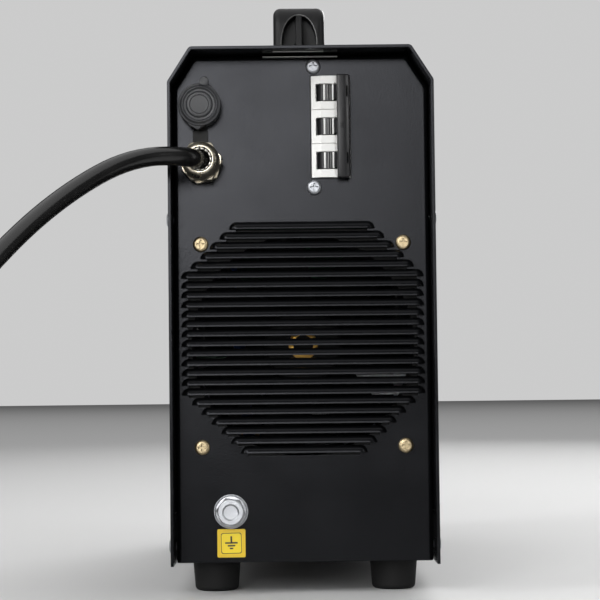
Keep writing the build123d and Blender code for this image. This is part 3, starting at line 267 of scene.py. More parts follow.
def surface(
    name,
    colour,
    roughness,
    metallic=0.0,
    grain=1100.0,
    grain_depth=0.00002,
    blotch=45.0,
    variation=0.12,
    roughness_spread=0.06,
    edge=0.0004,
    wear=None,
    wear_amount=0.6,
    specular=0.5,
):
    """Finish with fine grain, slow change of colour and gloss, soft edges and wear along them."""
    material = bpy.data.materials.new(name)
    material.use_nodes = True
    tree = material.node_tree
    shader = tree.nodes["Principled BSDF"]
    coordinates = add_node(tree, "ShaderNodeTexCoord").outputs["Object"]
    fine = add_node(
        tree, "ShaderNodeTexNoise", {"Vector": coordinates, "Scale": grain, "Detail": 2.0}
    ).outputs["Fac"]
    broad = add_node(
        tree,
        "ShaderNodeTexNoise",
        {"Vector": coordinates, "Scale": blotch, "Detail": 5.0, "Roughness": 0.6},
    ).outputs["Fac"]
    rounded = add_node(tree, "ShaderNodeBevel", {"Radius": edge}, samples=4).outputs["Normal"]
    flat = add_node(tree, "ShaderNodeNewGeometry").outputs["True Normal"]
    facing = add_node(
        tree, "ShaderNodeVectorMath", {0: rounded, 1: flat}, operation="DOT_PRODUCT"
    ).outputs["Value"]
    edges = remap(tree, facing, 0.995, 0.86, 0.0, 1.0)
    tone = mix_colours(tree, broad, shade(colour, -variation), shade(colour, variation))
    if wear is not None:
        worn = multiply(tree, edges, remap(tree, broad, 0.42, 0.62, 0.0, wear_amount))
        tone = mix_colours(tree, worn, tone, wear)
    tree.links.new(tone, shader.inputs["Base Color"])
    glossiest = max(0.02, roughness - roughness_spread)
    gloss = remap(tree, broad, 0.3, 0.7, glossiest, roughness + roughness_spread)
    tree.links.new(gloss, shader.inputs["Roughness"])
    shader.inputs["Metallic"].default_value = metallic
    shader.inputs["Specular IOR Level"].default_value = specular
    bump = add_node(
        tree,
        "ShaderNodeBump",
        {"Height": fine, "Distance": grain_depth, "Strength": 1.0, "Normal": rounded},
    )
    tree.links.new(bump.outputs["Normal"], shader.inputs["Normal"])
    return material


def paint_nodes(material, *nodes):
    """Gives CAD nodes their finish."""
    for node in nodes:
        item = node_objects[node]
        if not item.material_slots:
            item.data.materials.append(material)
        for place in item.material_slots:
            place.material = material


# ---------------------------------------------------------------- mesh tools
def settle(mesh_edit, name, material, body, crease=35.0, smooth=True):
    """Turns a bmesh into a finished piece that rides on a body."""
    bmesh.ops.remove_doubles(mesh_edit, verts=mesh_edit.verts, dist=1e-6)
    bmesh.ops.recalc_face_normals(mesh_edit, faces=mesh_edit.faces)
    mesh = bpy.data.meshes.new(name)
    mesh_edit.to_mesh(mesh)
    mesh_edit.free()
    if smooth:
        mesh.shade_smooth()
        mesh.set_sharp_from_angle(angle=radians(crease))
    mesh.materials.append(material)
    piece = bpy.data.objects.new(name, mesh)
    bpy.context.scene.collection.objects.link(piece)
    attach(piece, body)
    return piece


def spin_profile(mesh_edit, profile, origin, steps=64, axis=OUT, side=ACROSS):
    """Spins a profile of (radius, height) pairs in millimetres round an axis."""
    points = [mesh_edit.verts.new(origin + (side * r + axis * h) / 1000) for r, h in profile]
    edges = [mesh_edit.edges.new(pair) for pair in zip(points, points[1:])]
    bmesh.ops.spin(
        mesh_edit,
        geom=points + edges,
        cent=origin,
        axis=axis,
        dvec=(0, 0, 0),
        angle=2 * pi,
        steps=steps,
        use_merge=True,
    )
    bmesh.ops.remove_doubles(mesh_edit, verts=mesh_edit.verts, dist=1e-6)


def cut_flats(mesh_edit, origin, flats, turn):
    """Cuts six flats, so many millimetres across, on all that the mesh holds."""
    for step in range(6):
        outward = Matrix.Rotation(radians(turn + 60 * step), 3, OUT) @ ACROSS
        cut = bmesh.ops.bisect_plane(
            mesh_edit,
            geom=list(mesh_edit.verts) + list(mesh_edit.edges) + list(mesh_edit.faces),
            plane_co=origin + outward * flats / 2000,
            plane_no=outward,
            clear_outer=True,
        )
        rim = [item for item in cut["geom_cut"] if isinstance(item, bmesh.types.BMEdge)]
        bmesh.ops.edgeloop_fill(mesh_edit, edges=rim)


def behind(node):
    """Point on the rear panel's face, in line with the centre of a node."""
    centre = middle(node)
    return Vector((centre.x, REAR_FACE, centre.z))


def round_edges(mesh_edit, edges, width, segments):
    """Rounds edges to a width in millimetres."""
    bmesh.ops.bevel(
        mesh_edit,
        geom=edges,
        offset=width / 1000,
        segments=segments,
        profile=0.5,
        affect="EDGES",
        material=-1,
    )


def edges_at(verts):
    """Every edge that meets one of the vertices, once."""
    return list(dict.fromkeys(edge for vert in verts for edge in vert.link_edges))


def block(mesh_edit, centre, size, bevel=0.0, turn=None):
    """Box in millimetres at a place in metres; returns its corners, which rounding replaces."""
    made = bmesh.ops.create_cube(mesh_edit, size=1.0)["verts"]
    bmesh.ops.scale(mesh_edit, vec=mm(*size), verts=made)
    if turn is not None:
        bmesh.ops.rotate(mesh_edit, cent=(0, 0, 0), matrix=turn, verts=made)
    bmesh.ops.translate(mesh_edit, vec=centre, verts=made)
    if bevel:
        round_edges(mesh_edit, edges_at(made), bevel, 2)
    return made


def prism(mesh_edit, outline, along, bevel=0.0, segments=3):
    """Outline of points in metres, carried along a vector, with rounded edges in millimetres."""
    corners = [mesh_edit.verts.new(point) for point in outline]
    end = mesh_edit.faces.new(corners)
    grown = bmesh.ops.extrude_face_region(mesh_edit, geom=[end])["geom"]
    far = [item for item in grown if isinstance(item, bmesh.types.BMVert)]
    bmesh.ops.translate(mesh_edit, vec=along, verts=far)
    if bevel:
        round_edges(mesh_edit, edges_at(corners + far), bevel, segments)


# ---------------------------------------------------------------- stage
CAMERA_PLACE = (-0.0055, -1.173, 0.1058)
CAMERA_YAW, CAMERA_PITCH, CAMERA_ROLL = radians(0.24), radians(2.58), radians(-0.64)
FOCAL_LENGTH = 116.0
SENSOR_WIDTH = 36.0
FLOOR_REACH = 12.0
# name, place, aim, size, setting of its power, divisor of that power, spread in degrees
STUDIO_LAMPS = (
    ("key_lamp", (-1.15, -2.9, 1.95), (0, -0.15, 0.15), (0.9, 0.7), "key_power", 1, 42),
    ("sheen_lamp", (-0.5, -3.0, 0.77), (0, -0.17, 0.25), (1.8, 1.0), "sheen_power", 1, 38),
    ("left_lamp", (-1.7, -1.0, 1.0), (0, -0.15, 0.17), (0.5, 1.3), "side_power", 1, 120),
    ("right_lamp", (1.7, -1.1, 0.8), (0, -0.15, 0.17), (0.3, 1.0), "side_power", 3, 120),
    ("top_lamp", (0, 1.0, 6.0), (0, 1.0, 0), (13.0, 13.0), "top_power", 1, 160),
    ("front_lamp", (0.9, 2.8, 1.2), (0, 0.1, 0.15), (1.8, 1.4), "front_power", 1, 60),
)


class CUTTER_OT_stage(bpy.types.Operator):
    """Camera, floor, plain surround and soft lamps"""

    bl_idname = "plasma_cutter.stage"
    bl_label = "Stage"

    def execute(self, context):
        settings = context.scene.cutter_stage
        scene = context.scene
        scene.view_settings.view_transform = "Standard"

        yaw, pitch, roll = CAMERA_YAW, CAMERA_PITCH, CAMERA_ROLL
        forward = Vector((sin(yaw) * cos(pitch), cos(yaw) * cos(pitch), sin(pitch)))
        level = Vector((cos(yaw), -sin(yaw), 0))
        upright = level.cross(forward)
        right = level * cos(roll) + upright * sin(roll)
        up = upright * cos(roll) - level * sin(roll)
        lens = bpy.data.cameras.new("rear_camera")
        lens.lens = FOCAL_LENGTH
        lens.sensor_width = SENSOR_WIDTH
        lens.clip_start = 0.02
        lens.clip_end = 60.0
        camera = bpy.data.objects.new("rear_camera", lens)
        turned = Matrix((right, up, -forward)).transposed().to_4x4()
        camera.matrix_world = Matrix.Translation(CAMERA_PLACE) @ turned
        scene.collection.objects.link(camera)
        scene.camera = camera

        floor_edit = bmesh.new()
        bmesh.ops.create_grid(floor_edit, x_segments=8, y_segments=8, size=FLOOR_REACH)
        floor_mesh = bpy.data.meshes.new("studio_floor")
        floor_edit.to_mesh(floor_mesh)
        floor_edit.free()
        floor = bpy.data.objects.new("studio_floor", floor_mesh)
        scene.collection.objects.link(floor)
        finish = bpy.data.materials.new("studio_floor")
        finish.use_nodes = True
        shader = finish.node_tree.nodes["Principled BSDF"]
        shader.inputs["Base Color"].default_value = (*settings.floor, 1.0)
        shader.inputs["Roughness"].default_value = 0.75
        shader.inputs["Specular IOR Level"].default_value = 0.2
        floor_mesh.materials.append(finish)

        world = bpy.data.worlds.new("studio_surround")
        scene.world = world
        world.use_nodes = True
        tree = world.node_tree
        direct = add_node(tree, "ShaderNodeLightPath").outputs["Is Camera Ray"]
        strength = remap(tree, direct, 0.0, 1.0, settings.ambient, settings.backdrop)
        surround = tree.nodes["Background"]
        surround.inputs["Color"].default_value = (1.0, 1.0, 1.0, 1.0)
        tree.links.new(strength, surround.inputs["Strength"])

        for name, place, aim, size, setting, divisor, spread in STUDIO_LAMPS:
            light = bpy.data.lights.new(name, "AREA")
            light.shape = "RECTANGLE"
            light.size, light.size_y = size
            light.energy = getattr(settings, setting) / divisor
            light.spread = radians(spread)
            lamp = bpy.data.objects.new(name, light)
            lamp.location = place
            sight = Vector(aim) - Vector(place)
            lamp.rotation_euler = sight.to_track_quat("-Z", "Y").to_euler()
            scene.collection.objects.link(lamp)
        return {"FINISHED"}


# ---------------------------------------------------------------- mains plug
PLUG_BODY = (
    (9.0, 32.0), (11.5, 32.4), (15.0, 34.0), (16.9, 37.0), (17.7, 41.0), (17.9, 45.0),
    (17.9, 47.0), (17.2, 47.6), (17.2, 49.2), (17.9, 49.8), (17.9, 51.6), (17.2, 52.2),
    (17.2, 53.8), (17.9, 54.4), (17.9, 56.2), (17.2, 56.8), (17.2, 58.4), (17.9, 59.0),
    (17.9, 64.0), (17.6, 69.5), (17.0, 71.4), (16.2, 72.0), (13.4, 72.0), (13.0, 71.4),
    (0, 71.4),
)
PLUG_PIN = ((0, 71.0), (2.4, 71.0), (2.4, 88.6), (2.2, 90.0), (1.6, 90.8), (0.8, 91.0), (0, 91.0))
PLUG_PIN_OFFSET = 9.5
RELIEF_RINGS = 7
RELIEF_PITCH = 4.5
RELIEF_RING = ((-0.3, 0), (0, 0.4), (0.25, 2.7), (-0.1, 3.1), (-0.9, 3.3), (-0.8, 4.3))


class CUTTER_OT_plug(bpy.types.Operator):
    """Round two-pin plug with a ribbed strain relief, at the end of the cord"""

    bl_idname = "plasma_cutter.plug"
    bl_label = "Mains plug"

    def execute(self, context):
        rubber = surface(
            "plug_rubber", (0.012, 0.012, 0.012), 0.42, grain=1500.0, grain_depth=0.00003,
            variation=0.2, edge=0.0004, wear=(0.05, 0.05, 0.05), wear_amount=0.4,
        )
        steel = surface(
            "plug_pins", (0.62, 0.62, 0.60), 0.22, metallic=1.0, grain=900.0, grain_depth=0.00001,
            blotch=260.0, edge=0.0003, wear=(0.8, 0.78, 0.7),
        )
        low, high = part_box("cord_plug")
        foot = Vector(((low.x + high.x) / 2, low.y, (low.z + high.z) / 2))
        profile = [(4.9, 0.0), (5.5, 0.0)]
        for step in range(RELIEF_RINGS):
            start = 0.4 + step * RELIEF_PITCH
            radius = 5.75 + 0.42 * step
            profile += [(radius + out, start + along) for out, along in RELIEF_RING]
        mesh_edit = bmesh.new()
        spin_profile(mesh_edit, profile + list(PLUG_BODY), foot, 64, -OUT)
        rim = [edge for edge in mesh_edit.edges if edge.is_boundary]
        bmesh.ops.edgeloop_fill(mesh_edit, edges=rim)
        body = settle(mesh_edit, "mains_plug", rubber, "case", crease=40)
        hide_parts("cord_plug")
        mesh_edit = bmesh.new()
        for x in (-PLUG_PIN_OFFSET, PLUG_PIN_OFFSET):
            spin_profile(mesh_edit, PLUG_PIN, foot + mm(x, 0, 0), 24, -OUT)
        settle(mesh_edit, "plug_pins", steel, "case", crease=40)
        return {"FINISHED"}


# ---------------------------------------------------------------- mains cord
CORD_ROUTE = (
    (-0.0514, -0.181, 0.2219),
    (-0.0514, -0.209, 0.2219),
    (-0.083, -0.233, 0.2195),
    (-0.113, -0.273, 0.196),
    (-0.137, -0.323, 0.164),
    (-0.160, -0.376, 0.122),
    (-0.171, -0.401, 0.068),
    (-0.179, -0.409, 0.028),
    (-0.206, -0.4085, 0.00475),
)
COIL_CENTRE = Vector((-0.225, -0.333, 0))
COIL_COLUMNS = 4
POINTS_PER_TURN = 20
COIL_SHIFT, COIL_CLIMB = 0.25, 0.3
# steps from the coil's left side to the plug, along Y, and the height at each
PLUG_LEAD = ((0.012, 0.0155), (0.030, 0.018), (0.042, 0.018))


def eased(share):
    """Smooth step from 0 to 1."""
    share = max(0.0, min(1.0, share))
    return (1 - cos(pi * share)) / 2


def coil_place(turns, settings):
    """Column and layer of the winding, eased from one to the next, after so many turns."""
    shift, climb = COIL_SHIFT, COIL_CLIMB
    spare = (settings.coil_turns - climb - 2 * (COIL_COLUMNS - 2 + shift)) / 4
    half = (settings.coil_turns - climb) / 2

    def column_after(count):
        return sum(eased((count - spare - step) / shift) for step in range(COIL_COLUMNS - 1))

    if turns < settings.coil_turns / 2:
        return column_after(min(turns, half)), eased((turns - half) / climb)
    return column_after(min(settings.coil_turns - turns, half)), eased((turns - half) / climb)


class CUTTER_OT_cord(bpy.types.Operator):
    """Mains cord from the gland to its coil on the floor"""

    bl_idname = "plasma_cutter.cord"
    bl_label = "Mains cord"

    def execute(self, context):
        settings = context.scene.cutter_cord
        thick = settings.diameter
        jacket = surface(
            "cord_jacket", tuple(settings.jacket), 0.2, grain=2600.0, grain_depth=0.000012,
            blotch=60.0, variation=0.2, roughness_spread=0.07, edge=0.0002,
        )
        points = [Vector(point) for point in CORD_ROUTE]
        outermost = settings.coil_radius + (COIL_COLUMNS - 1) / 2 * thick
        spread = 1 / cos(pi / POINTS_PER_TURN)
        steps = round(settings.coil_turns * POINTS_PER_TURN)
        for step in range(1, steps + 1):
            turns = step / POINTS_PER_TURN
            column, layer = coil_place(turns, settings)
            angle = -pi / 2 - 2 * pi * turns
            radius = (outermost - column * thick) * spread
            height = thick * (0.5 + layer)
            points.append(COIL_CENTRE + Vector((radius * cos(angle), radius * sin(angle), height)))
        plug_x = COIL_CENTRE.x - outermost
        points += [Vector((plug_x, COIL_CENTRE.y + along, z)) for along, z in PLUG_LEAD]
        line = bpy.data.curves.new("mains_cord", "CURVE")
        line.dimensions = "3D"
        line.bevel_depth = thick / 2
        line.bevel_resolution = 5
        line.resolution_u = 8
        line.use_fill_caps = True
        spline = line.splines.new("NURBS")
        spline.points.add(len(points) - 1)
        for point, place in zip(spline.points, points):
            point.co = (*place, 1.0)
        spline.order_u = 3
        spline.use_endpoint_u = True
        line.materials.append(jacket)
        cord = bpy.data.objects.new("mains_cord", line)
        context.scene.collection.objects.link(cord)
        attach(cord, "case")
        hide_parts("power_cord", "cord_coil")
        return {"FINISHED"}


# ---------------------------------------------------------------- case finish
FEET = ("foot_rear_left", "foot_rear_right", "foot_front_left", "foot_front_right")


class CUTTER_OT_case_finish(bpy.types.Operator):
    """Powder coat and fasteners of the case"""

    bl_idname = "plasma_cutter.case_finish"
    bl_label = "Case finish"

    def execute(self, context):
        settings = context.scene.cutter_paint
        # the lighter colour along edges is wear, and on the louvre lips it also stands in as
        # painted highlight lines
        coat = surface(
            "case_paint", tuple(settings.paint), settings.paint_roughness, grain=1500.0,
            grain_depth=0.000035, blotch=26.0, variation=0.15, roughness_spread=0.05,
            edge=0.0006, wear=(0.06, 0.06, 0.062), wear_amount=0.5, specular=0.175,
        )
        coat.node_tree.nodes["Principled BSDF"].inputs["Specular Tint"].default_value = (
            0.90, 0.92, 1.0, 1.0
        )
        paint_nodes(coat, "cover", "rear_panel", "front_panel", "base_pan")
        grip = surface(
            "handle_plastic", (0.006, 0.006, 0.0065), 0.45, grain=2200.0, grain_depth=0.00004,
            edge=0.0008, specular=0.2,
        )
        paint_nodes(grip, "handle")
        foot = surface(
            "foot_rubber", (0.008, 0.008, 0.008), 0.7, grain=1700.0, grain_depth=0.00004,
            edge=0.0008, specular=0.2,
        )
        paint_nodes(foot, *FEET)
        zinc = surface(
            "zinc_steel", tuple(settings.zinc), 0.44, metallic=1.0, grain=2400.0,
            grain_depth=0.00001, blotch=220.0, edge=0.0003, wear=(0.5, 0.5, 0.5),
        )
        paint_nodes(
            zinc, "handle_screws", "foot_screws", "cover_screws", "breaker_screws",
            "breaker_bracket", "fan_nuts", "ground_washer", "ground_nut",
        )
        gold = surface(
            "yellow_zinc", tuple(settings.yellow_zinc), 0.42, metallic=1.0, grain=2400.0,
            grain_depth=0.00001, blotch=260.0, edge=0.0003, wear=(0.55, 0.48, 0.36),
        )
        paint_nodes(gold, "fan_screws")
        return {"FINISHED"}


# ---------------------------------------------------------------- breaker
POLES = ("breaker_pole_lower", "breaker_pole_middle", "breaker_pole_upper")
DRUM_AXIS = Vector((0.014, REAR_FACE + 0.0018, 0))
DRUM_RADIUS = 5.2
# offset and width in mm of the light ridge and the dimmer lines: painted highlights on the glossy
# black drums
DRUM_HIGHLIGHT_RIDGES = ((-1.6, 0.95),)
DRUM_HIGHLIGHT_LINES = ((0.3, 0.4), (1.45, 0.4))
TIE_BAR_SECTION = (
    (18.9, -11.0), (23.0, -10.6), (25.4, -9.3), (25.2, -6.4), (21.5, -5.0), (18.6, -7.0)
)
TIE_BAR_LENGTH = 53.4
TIE_BAR_DROP = 0.0006
TOGGLE_WIDTH = 8.4
FIN_PLACE = (2.85, -5.35, 0)
FIN_SIZE = (0.95, 2.3, TOGGLE_WIDTH)
# places of the slots and the rivet in metres, their leans in degrees, sizes in millimetres
SLOT_X, SLOT_OUT, SLOT_SPACING, SLOT_LEAN = 0.0240, 0.01006, 0.0173, 28.4
SLOT_SIZE = (1.0, 0.12, 5.7)
RIVET_X, RIVET_OUT, RIVET_RISE, RIVET_LEAN = 0.0216, 0.01074, 0.0002, 5.6
RIVET = (
    (0, 0.1), (0.65, 0.1), (0.75, -0.1), (0.9, -0.1), (1.0, 0.22), (1.3, 0.18), (1.4, -0.1)
)


class CUTTER_OT_breaker(bpy.types.Operator):
    """Breaker poles, toggle drums with ridges and lines in painted highlight colours, and the tie
    bar with its rivet and slots in painted shade
    """

    bl_idname = "plasma_cutter.breaker"
    bl_label = "Breaker"

    def ridges(self, name, rows, finish, fin=False):
        """Ridges along the toggle drums, as (offset, width) pairs in millimetres; their colour is
        a painted highlight of the drums.
        """
        mesh_edit = bmesh.new()
        for pole in POLES:
            level = UP * middle(pole).z
            for offset, width in rows:
                lean = asin(offset / DRUM_RADIUS)
                outward = Vector((sin(lean), -cos(lean), 0))
                block(
                    mesh_edit,
                    DRUM_AXIS + level + outward * DRUM_RADIUS / 1000,
                    (width, 0.5, TOGGLE_WIDTH),
                    0.12,
                    Matrix.Rotation(lean, 3, "Z"),
                )
            # the fin on each lever takes the same painted highlight colour
            if fin:
                block(mesh_edit, DRUM_AXIS + level + mm(*FIN_PLACE), FIN_SIZE, 0.12)
        settle(mesh_edit, name, finish, "breaker_lever")

    def tie_bar(self, finish, dark):
        """Rounded bar that joins the toggles, with two slots and a rivet; the slots are thin
        near-black pads of painted shade.
        """
        centre = middle("breaker_tie_bar").z - TIE_BAR_DROP
        foot = centre - TIE_BAR_LENGTH / 2000
        mesh_edit = bmesh.new()
        section = [Vector((x / 1000, REAR_FACE + y / 1000, foot)) for x, y in TIE_BAR_SECTION]
        prism(mesh_edit, section, mm(0, 0, TIE_BAR_LENGTH), 0.9, 4)
        bar = settle(mesh_edit, "tie_bar", finish, "breaker_lever", crease=50)
        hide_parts("breaker_tie_bar")
        lean = Matrix.Rotation(radians(SLOT_LEAN), 3, "Z")
        # near-black finish for the slots: painted shade of the openings
        pit = surface(
            "tie_bar_slot_shade", (0.001, 0.001, 0.001), 0.7, grain=2600.0, grain_depth=0.00001,
            edge=0.0001, specular=0.05,
        )
        slots = bmesh.new()
        for step in (-1, 1):
            level = centre + TIE_BAR_DROP + step * SLOT_SPACING
            place = Vector((SLOT_X, REAR_FACE - SLOT_OUT, level))
            block(slots, place, SLOT_SIZE, 0.04, lean)
        settle(slots, "slot_shade_pads", pit, "breaker_lever")
        rivet = bmesh.new()
        lean = Matrix.Rotation(radians(RIVET_LEAN), 3, "Z")
        place = Vector((RIVET_X, REAR_FACE - RIVET_OUT, centre + RIVET_RISE))
        spin_profile(rivet, RIVET, place, 32, lean @ OUT, lean @ ACROSS)
        settle(rivet, "tie_bar_rivet", dark, "breaker_lever")

    def execute(self, context):
        settings = context.scene.cutter_breaker
        shell = surface(
            "breaker_shell", tuple(settings.shell), 0.42, grain=2600.0, grain_depth=0.00001,
            variation=0.03, edge=0.0004,
        )
        paint_nodes(shell, *POLES)
        black = surface(
            "breaker_black", tuple(settings.toggle), 0.3, grain=2600.0, grain_depth=0.00001,
            edge=0.0004, specular=0.3,
        )
        paint_nodes(black, "breaker_toggles")
        bar = surface(
            "tie_bar_plastic", shade(settings.toggle, 0.1), 0.34, grain=2600.0,
            grain_depth=0.00002, edge=0.0003, wear=(0.10, 0.10, 0.10), wear_amount=0.4,
            specular=0.4,
        )
        # light ridge and dimmer lines stand in for the drums' reflections: painted highlight
        # colours
        ridge_highlight = surface(
            "ridge_painted_highlight", shade(settings.shell, -0.1), 0.35, grain=2600.0, grain_depth=0.00001,
            variation=0.05, edge=0.0001,
        )
        line_highlight = surface(
            "line_painted_highlight", shade(settings.shell, -0.7), 0.35, grain=2600.0, grain_depth=0.00001,
            variation=0.08, edge=0.0001,
        )
        self.ridges("drum_highlight_ridges", DRUM_HIGHLIGHT_RIDGES, ridge_highlight, fin=True)
        self.ridges("drum_highlight_lines", DRUM_HIGHLIGHT_LINES, line_highlight)
        self.tie_bar(bar, black)
        return {"FINISHED"}


# ---------------------------------------------------------------- rear fittings
GLAND_FLATS = 19.0
GLAND_BODY_TURN = 47
GLAND_NUT_TURN = 30
GLAND_FLANGE = ((5.4, 1.5), (11.07, 1.5), (11.07, 5.8), (10.3, 6.5), (5.4, 6.5), (5.4, 1.5))
GLAND_SLEEVE = (
    (5.4, -10.0), (7.9, -10.0), (7.9, 1.5), (7.2, 1.5), (7.2, 12.0), (5.4, 12.0), (5.4, -10.0)
)
GLAND_DOME = (
    (7.3, 7.0), (10.4, 7.0), (11.07, 7.5), (11.07, 13.9), (10.4, 14.6), (9.9, 14.9), (9.75, 15.4),
    (9.65, 17.0), (9.4, 19.0), (8.95, 20.9), (8.4, 22.5), (7.8, 23.7), (7.2, 24.5), (6.7, 24.9),
    (6.4, 24.9), (6.2, 24.6), (6.2, 16.0), (7.3, 16.0), (7.3, 7.0),
)
CLAW_TEETH = 14
CLAW_PLACE = (5.5, -20.9, 0)
CLAW_SIZE = (1.05, 6.0, 2.1)
CLAW_RING = ((5.0, 16.0), (6.1, 16.0), (6.1, 18.5), (5.0, 18.5), (5.0, 16.0))


class CUTTER_OT_gland(bpy.types.Operator):
    """Cable gland: hexagon body, domed nut and the claws that grip the cord"""

    bl_idname = "plasma_cutter.gland"
    bl_label = "Cable gland"

    def execute(self, context):
        place = behind("gland_nut")
        nickel = surface(
            "gland_nickel", (0.80, 0.73, 0.58), 0.3, metallic=1.0, grain=900.0,
            grain_depth=0.000012, blotch=180.0, roughness_spread=0.06, edge=0.0003,
            wear=(0.88, 0.84, 0.74),
        )
        steel = surface(
            "claw_steel", (0.42, 0.41, 0.38), 0.4, metallic=1.0, grain=1500.0,
            grain_depth=0.00002, blotch=300.0, edge=0.0002,
        )
        mesh_edit = bmesh.new()
        spin_profile(mesh_edit, GLAND_FLANGE, place, 72)
        cut_flats(mesh_edit, place, GLAND_FLATS, GLAND_BODY_TURN)
        spin_profile(mesh_edit, GLAND_SLEEVE, place)
        body = settle(mesh_edit, "gland_hexagon", nickel, "case", crease=25)
        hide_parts("gland_body")
        mesh_edit = bmesh.new()
        spin_profile(mesh_edit, GLAND_DOME, place, 72)
        cut_flats(mesh_edit, place, GLAND_FLATS, GLAND_NUT_TURN)
        dome = settle(mesh_edit, "gland_dome_nut", nickel, "case", crease=25)
        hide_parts("gland_nut")
        mesh_edit = bmesh.new()
        spin_profile(mesh_edit, CLAW_RING, place)
        for step in range(CLAW_TEETH):
            turn = Matrix.Rotation(2 * pi * step / CLAW_TEETH, 3, OUT)
            block(mesh_edit, place + turn @ mm(*CLAW_PLACE), CLAW_SIZE, 0.3, turn)
        claw = settle(mesh_edit, "gland_claws", steel, "case", crease=30)
        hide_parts("gland_claw")
        paint_nodes(nickel, "gland_locknut")
        seal = surface("gland_seal", (0.02, 0.02, 0.02), 0.6, grain=1500.0, grain_depth=0.00003)
        paint_nodes(seal, "gland_seal")
        return {"FINISHED"}


CAP_PROFILE = (
    (0, 9.0), (9.4, 9.0), (9.4, 1.0), (11.0, 1.0), (11.0, 9.4), (10.8, 9.85), (10.0, 10.0),
    (9.6, 10.4), (9.2, 10.9), (8.7, 11.0), (8.3, 10.7), (8.0, 10.15), (7.0, 10.1),
    (6.7, 10.45), (6.3, 10.9), (5.8, 11.0), (5.05, 11.0), (4.85, 10.6), (4.65, 10.95),
    (0, 11.0),
)
CAP_TAB = ((0, 8.6), (2.2, 8.6), (2.35, 8.8), (2.35, 10.3), (2.1, 10.6), (0, 10.7))
CAP_TAB_TURN = 78.0
CAP_LUG = (
    (-9.6, -5.0), (-5.2, -10.9), (-3.2, -11.7), (-0.9, -13.1), (0.7, -11.6), (2.6, -10.9),
    (9.6, -5.0),
)
STRAP_FOLD = (
    (-1.2, -12.8), (-1.5, -11.8), (-2.9, -11.3), (-5.6, -11.3), (-7.6, -11.0), (-8.3, -9.8)
)
STRAP_HALF_WIDTH = 3.4


def runs_across(edge):
    """Whether an edge keeps one level and one depth from end to end."""
    first, second = (vert.co for vert in edge.verts)
    return abs(first.y - second.y) < 1e-7 and abs(first.z - second.z) < 1e-7


class CUTTER_OT_port_cap(bpy.types.Operator):
    """Ringed rubber cap of the air inlet, with its tab, lug and strap"""

    bl_idname = "plasma_cutter.port_cap"
    bl_label = "Port cap"

    def execute(self, context):
        rubber = surface(
            "cap_rubber", (0.028, 0.029, 0.032), 0.42, grain=1100.0, grain_depth=0.00004,
            variation=0.2, edge=0.0003, wear=(0.12, 0.12, 0.125), wear_amount=0.35, specular=0.4,
        )
        place = behind("air_inlet_fitting")
        mesh_edit = bmesh.new()
        spin_profile(mesh_edit, CAP_PROFILE, place, 72)
        toward = Matrix.Rotation(radians(CAP_TAB_TURN), 3, OUT)
        spin_profile(mesh_edit, CAP_TAB, place + toward @ mm(12.3, 0, 0), 32)
        block(mesh_edit, place + toward @ mm(11.3, -9.65, 0), (2.6, 2.1, 4.6), 0.3, toward)
        prism(mesh_edit, [place + mm(x, -9.0, z) for x, z in CAP_LUG], mm(0, 3.4, 0), 0.3)
        cap = settle(mesh_edit, "air_inlet_cap", rubber, "port_cap", crease=30)
        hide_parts("port_cap")
        # the strap and its fold get a darker rubber than the cap: painted shade, as the strap lies
        # in the cap's shadow
        strap = surface(
            "strap_rubber_painted_shade", (0.006, 0.006, 0.006), 0.5, grain=1100.0, grain_depth=0.00004,
            variation=0.2, edge=0.0003, specular=0.2,
        )
        paint_nodes(strap, "port_cap_strap")
        fold = bmesh.new()
        y, z = STRAP_FOLD[0]
        sides = (-STRAP_HALF_WIDTH, STRAP_HALF_WIDTH)
        ends = [fold.verts.new(place + mm(x, y, z)) for x in sides]
        rim = [fold.edges.new(ends)]
        for (y, z), (next_y, next_z) in zip(STRAP_FOLD, STRAP_FOLD[1:]):
            grown = bmesh.ops.extrude_edge_only(fold, edges=rim)["geom"]
            bmesh.ops.translate(
                fold,
                vec=mm(0, next_y - y, next_z - z),
                verts=[item for item in grown if isinstance(item, bmesh.types.BMVert)],
            )
            rim = [
                item for item in grown
                if isinstance(item, bmesh.types.BMEdge) and runs_across(item)
            ]
        bmesh.ops.recalc_face_normals(fold, faces=fold.faces)
        bmesh.ops.solidify(fold, geom=list(fold.faces), thickness=0.0013)
        mesh = bpy.data.meshes.new("cap_strap_fold")
        bmesh.ops.recalc_face_normals(fold, faces=fold.faces)
        fold.to_mesh(mesh)
        fold.free()
        mesh.shade_smooth()
        mesh.materials.append(strap)
        piece = bpy.data.objects.new("cap_strap_fold", mesh)
        context.scene.collection.objects.link(piece)
        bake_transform(piece)
        return {"FINISHED"}


BOLT_FLANGE = ((0, -0.2), (8.3, -0.2), (8.4, 0.2), (8.35, 0.9), (7.8, 1.4), (6.0, 1.6), (0, 1.6))
BOLT_HEAD = (
    (0, 1.0), (7.6, 1.0), (7.6, 6.3), (6.7, 7.3), (6.2, 7.6), (4.3, 7.6), (3.5, 6.9), (0, 6.8)
)
BOLT_FLATS = 13.0
BOLT_TURN = 22
THREAD_RADIUS, THREAD_ROOT, THREAD_PITCH = 3.95, 3.45, 1.25
LABEL_CORNER = 1.1
PRINT_DEPTH = 0.16
LABEL_BARS = ((0, 0.2, 6.5), (0, -1.25, 3.9), (0, -2.65, 1.8))


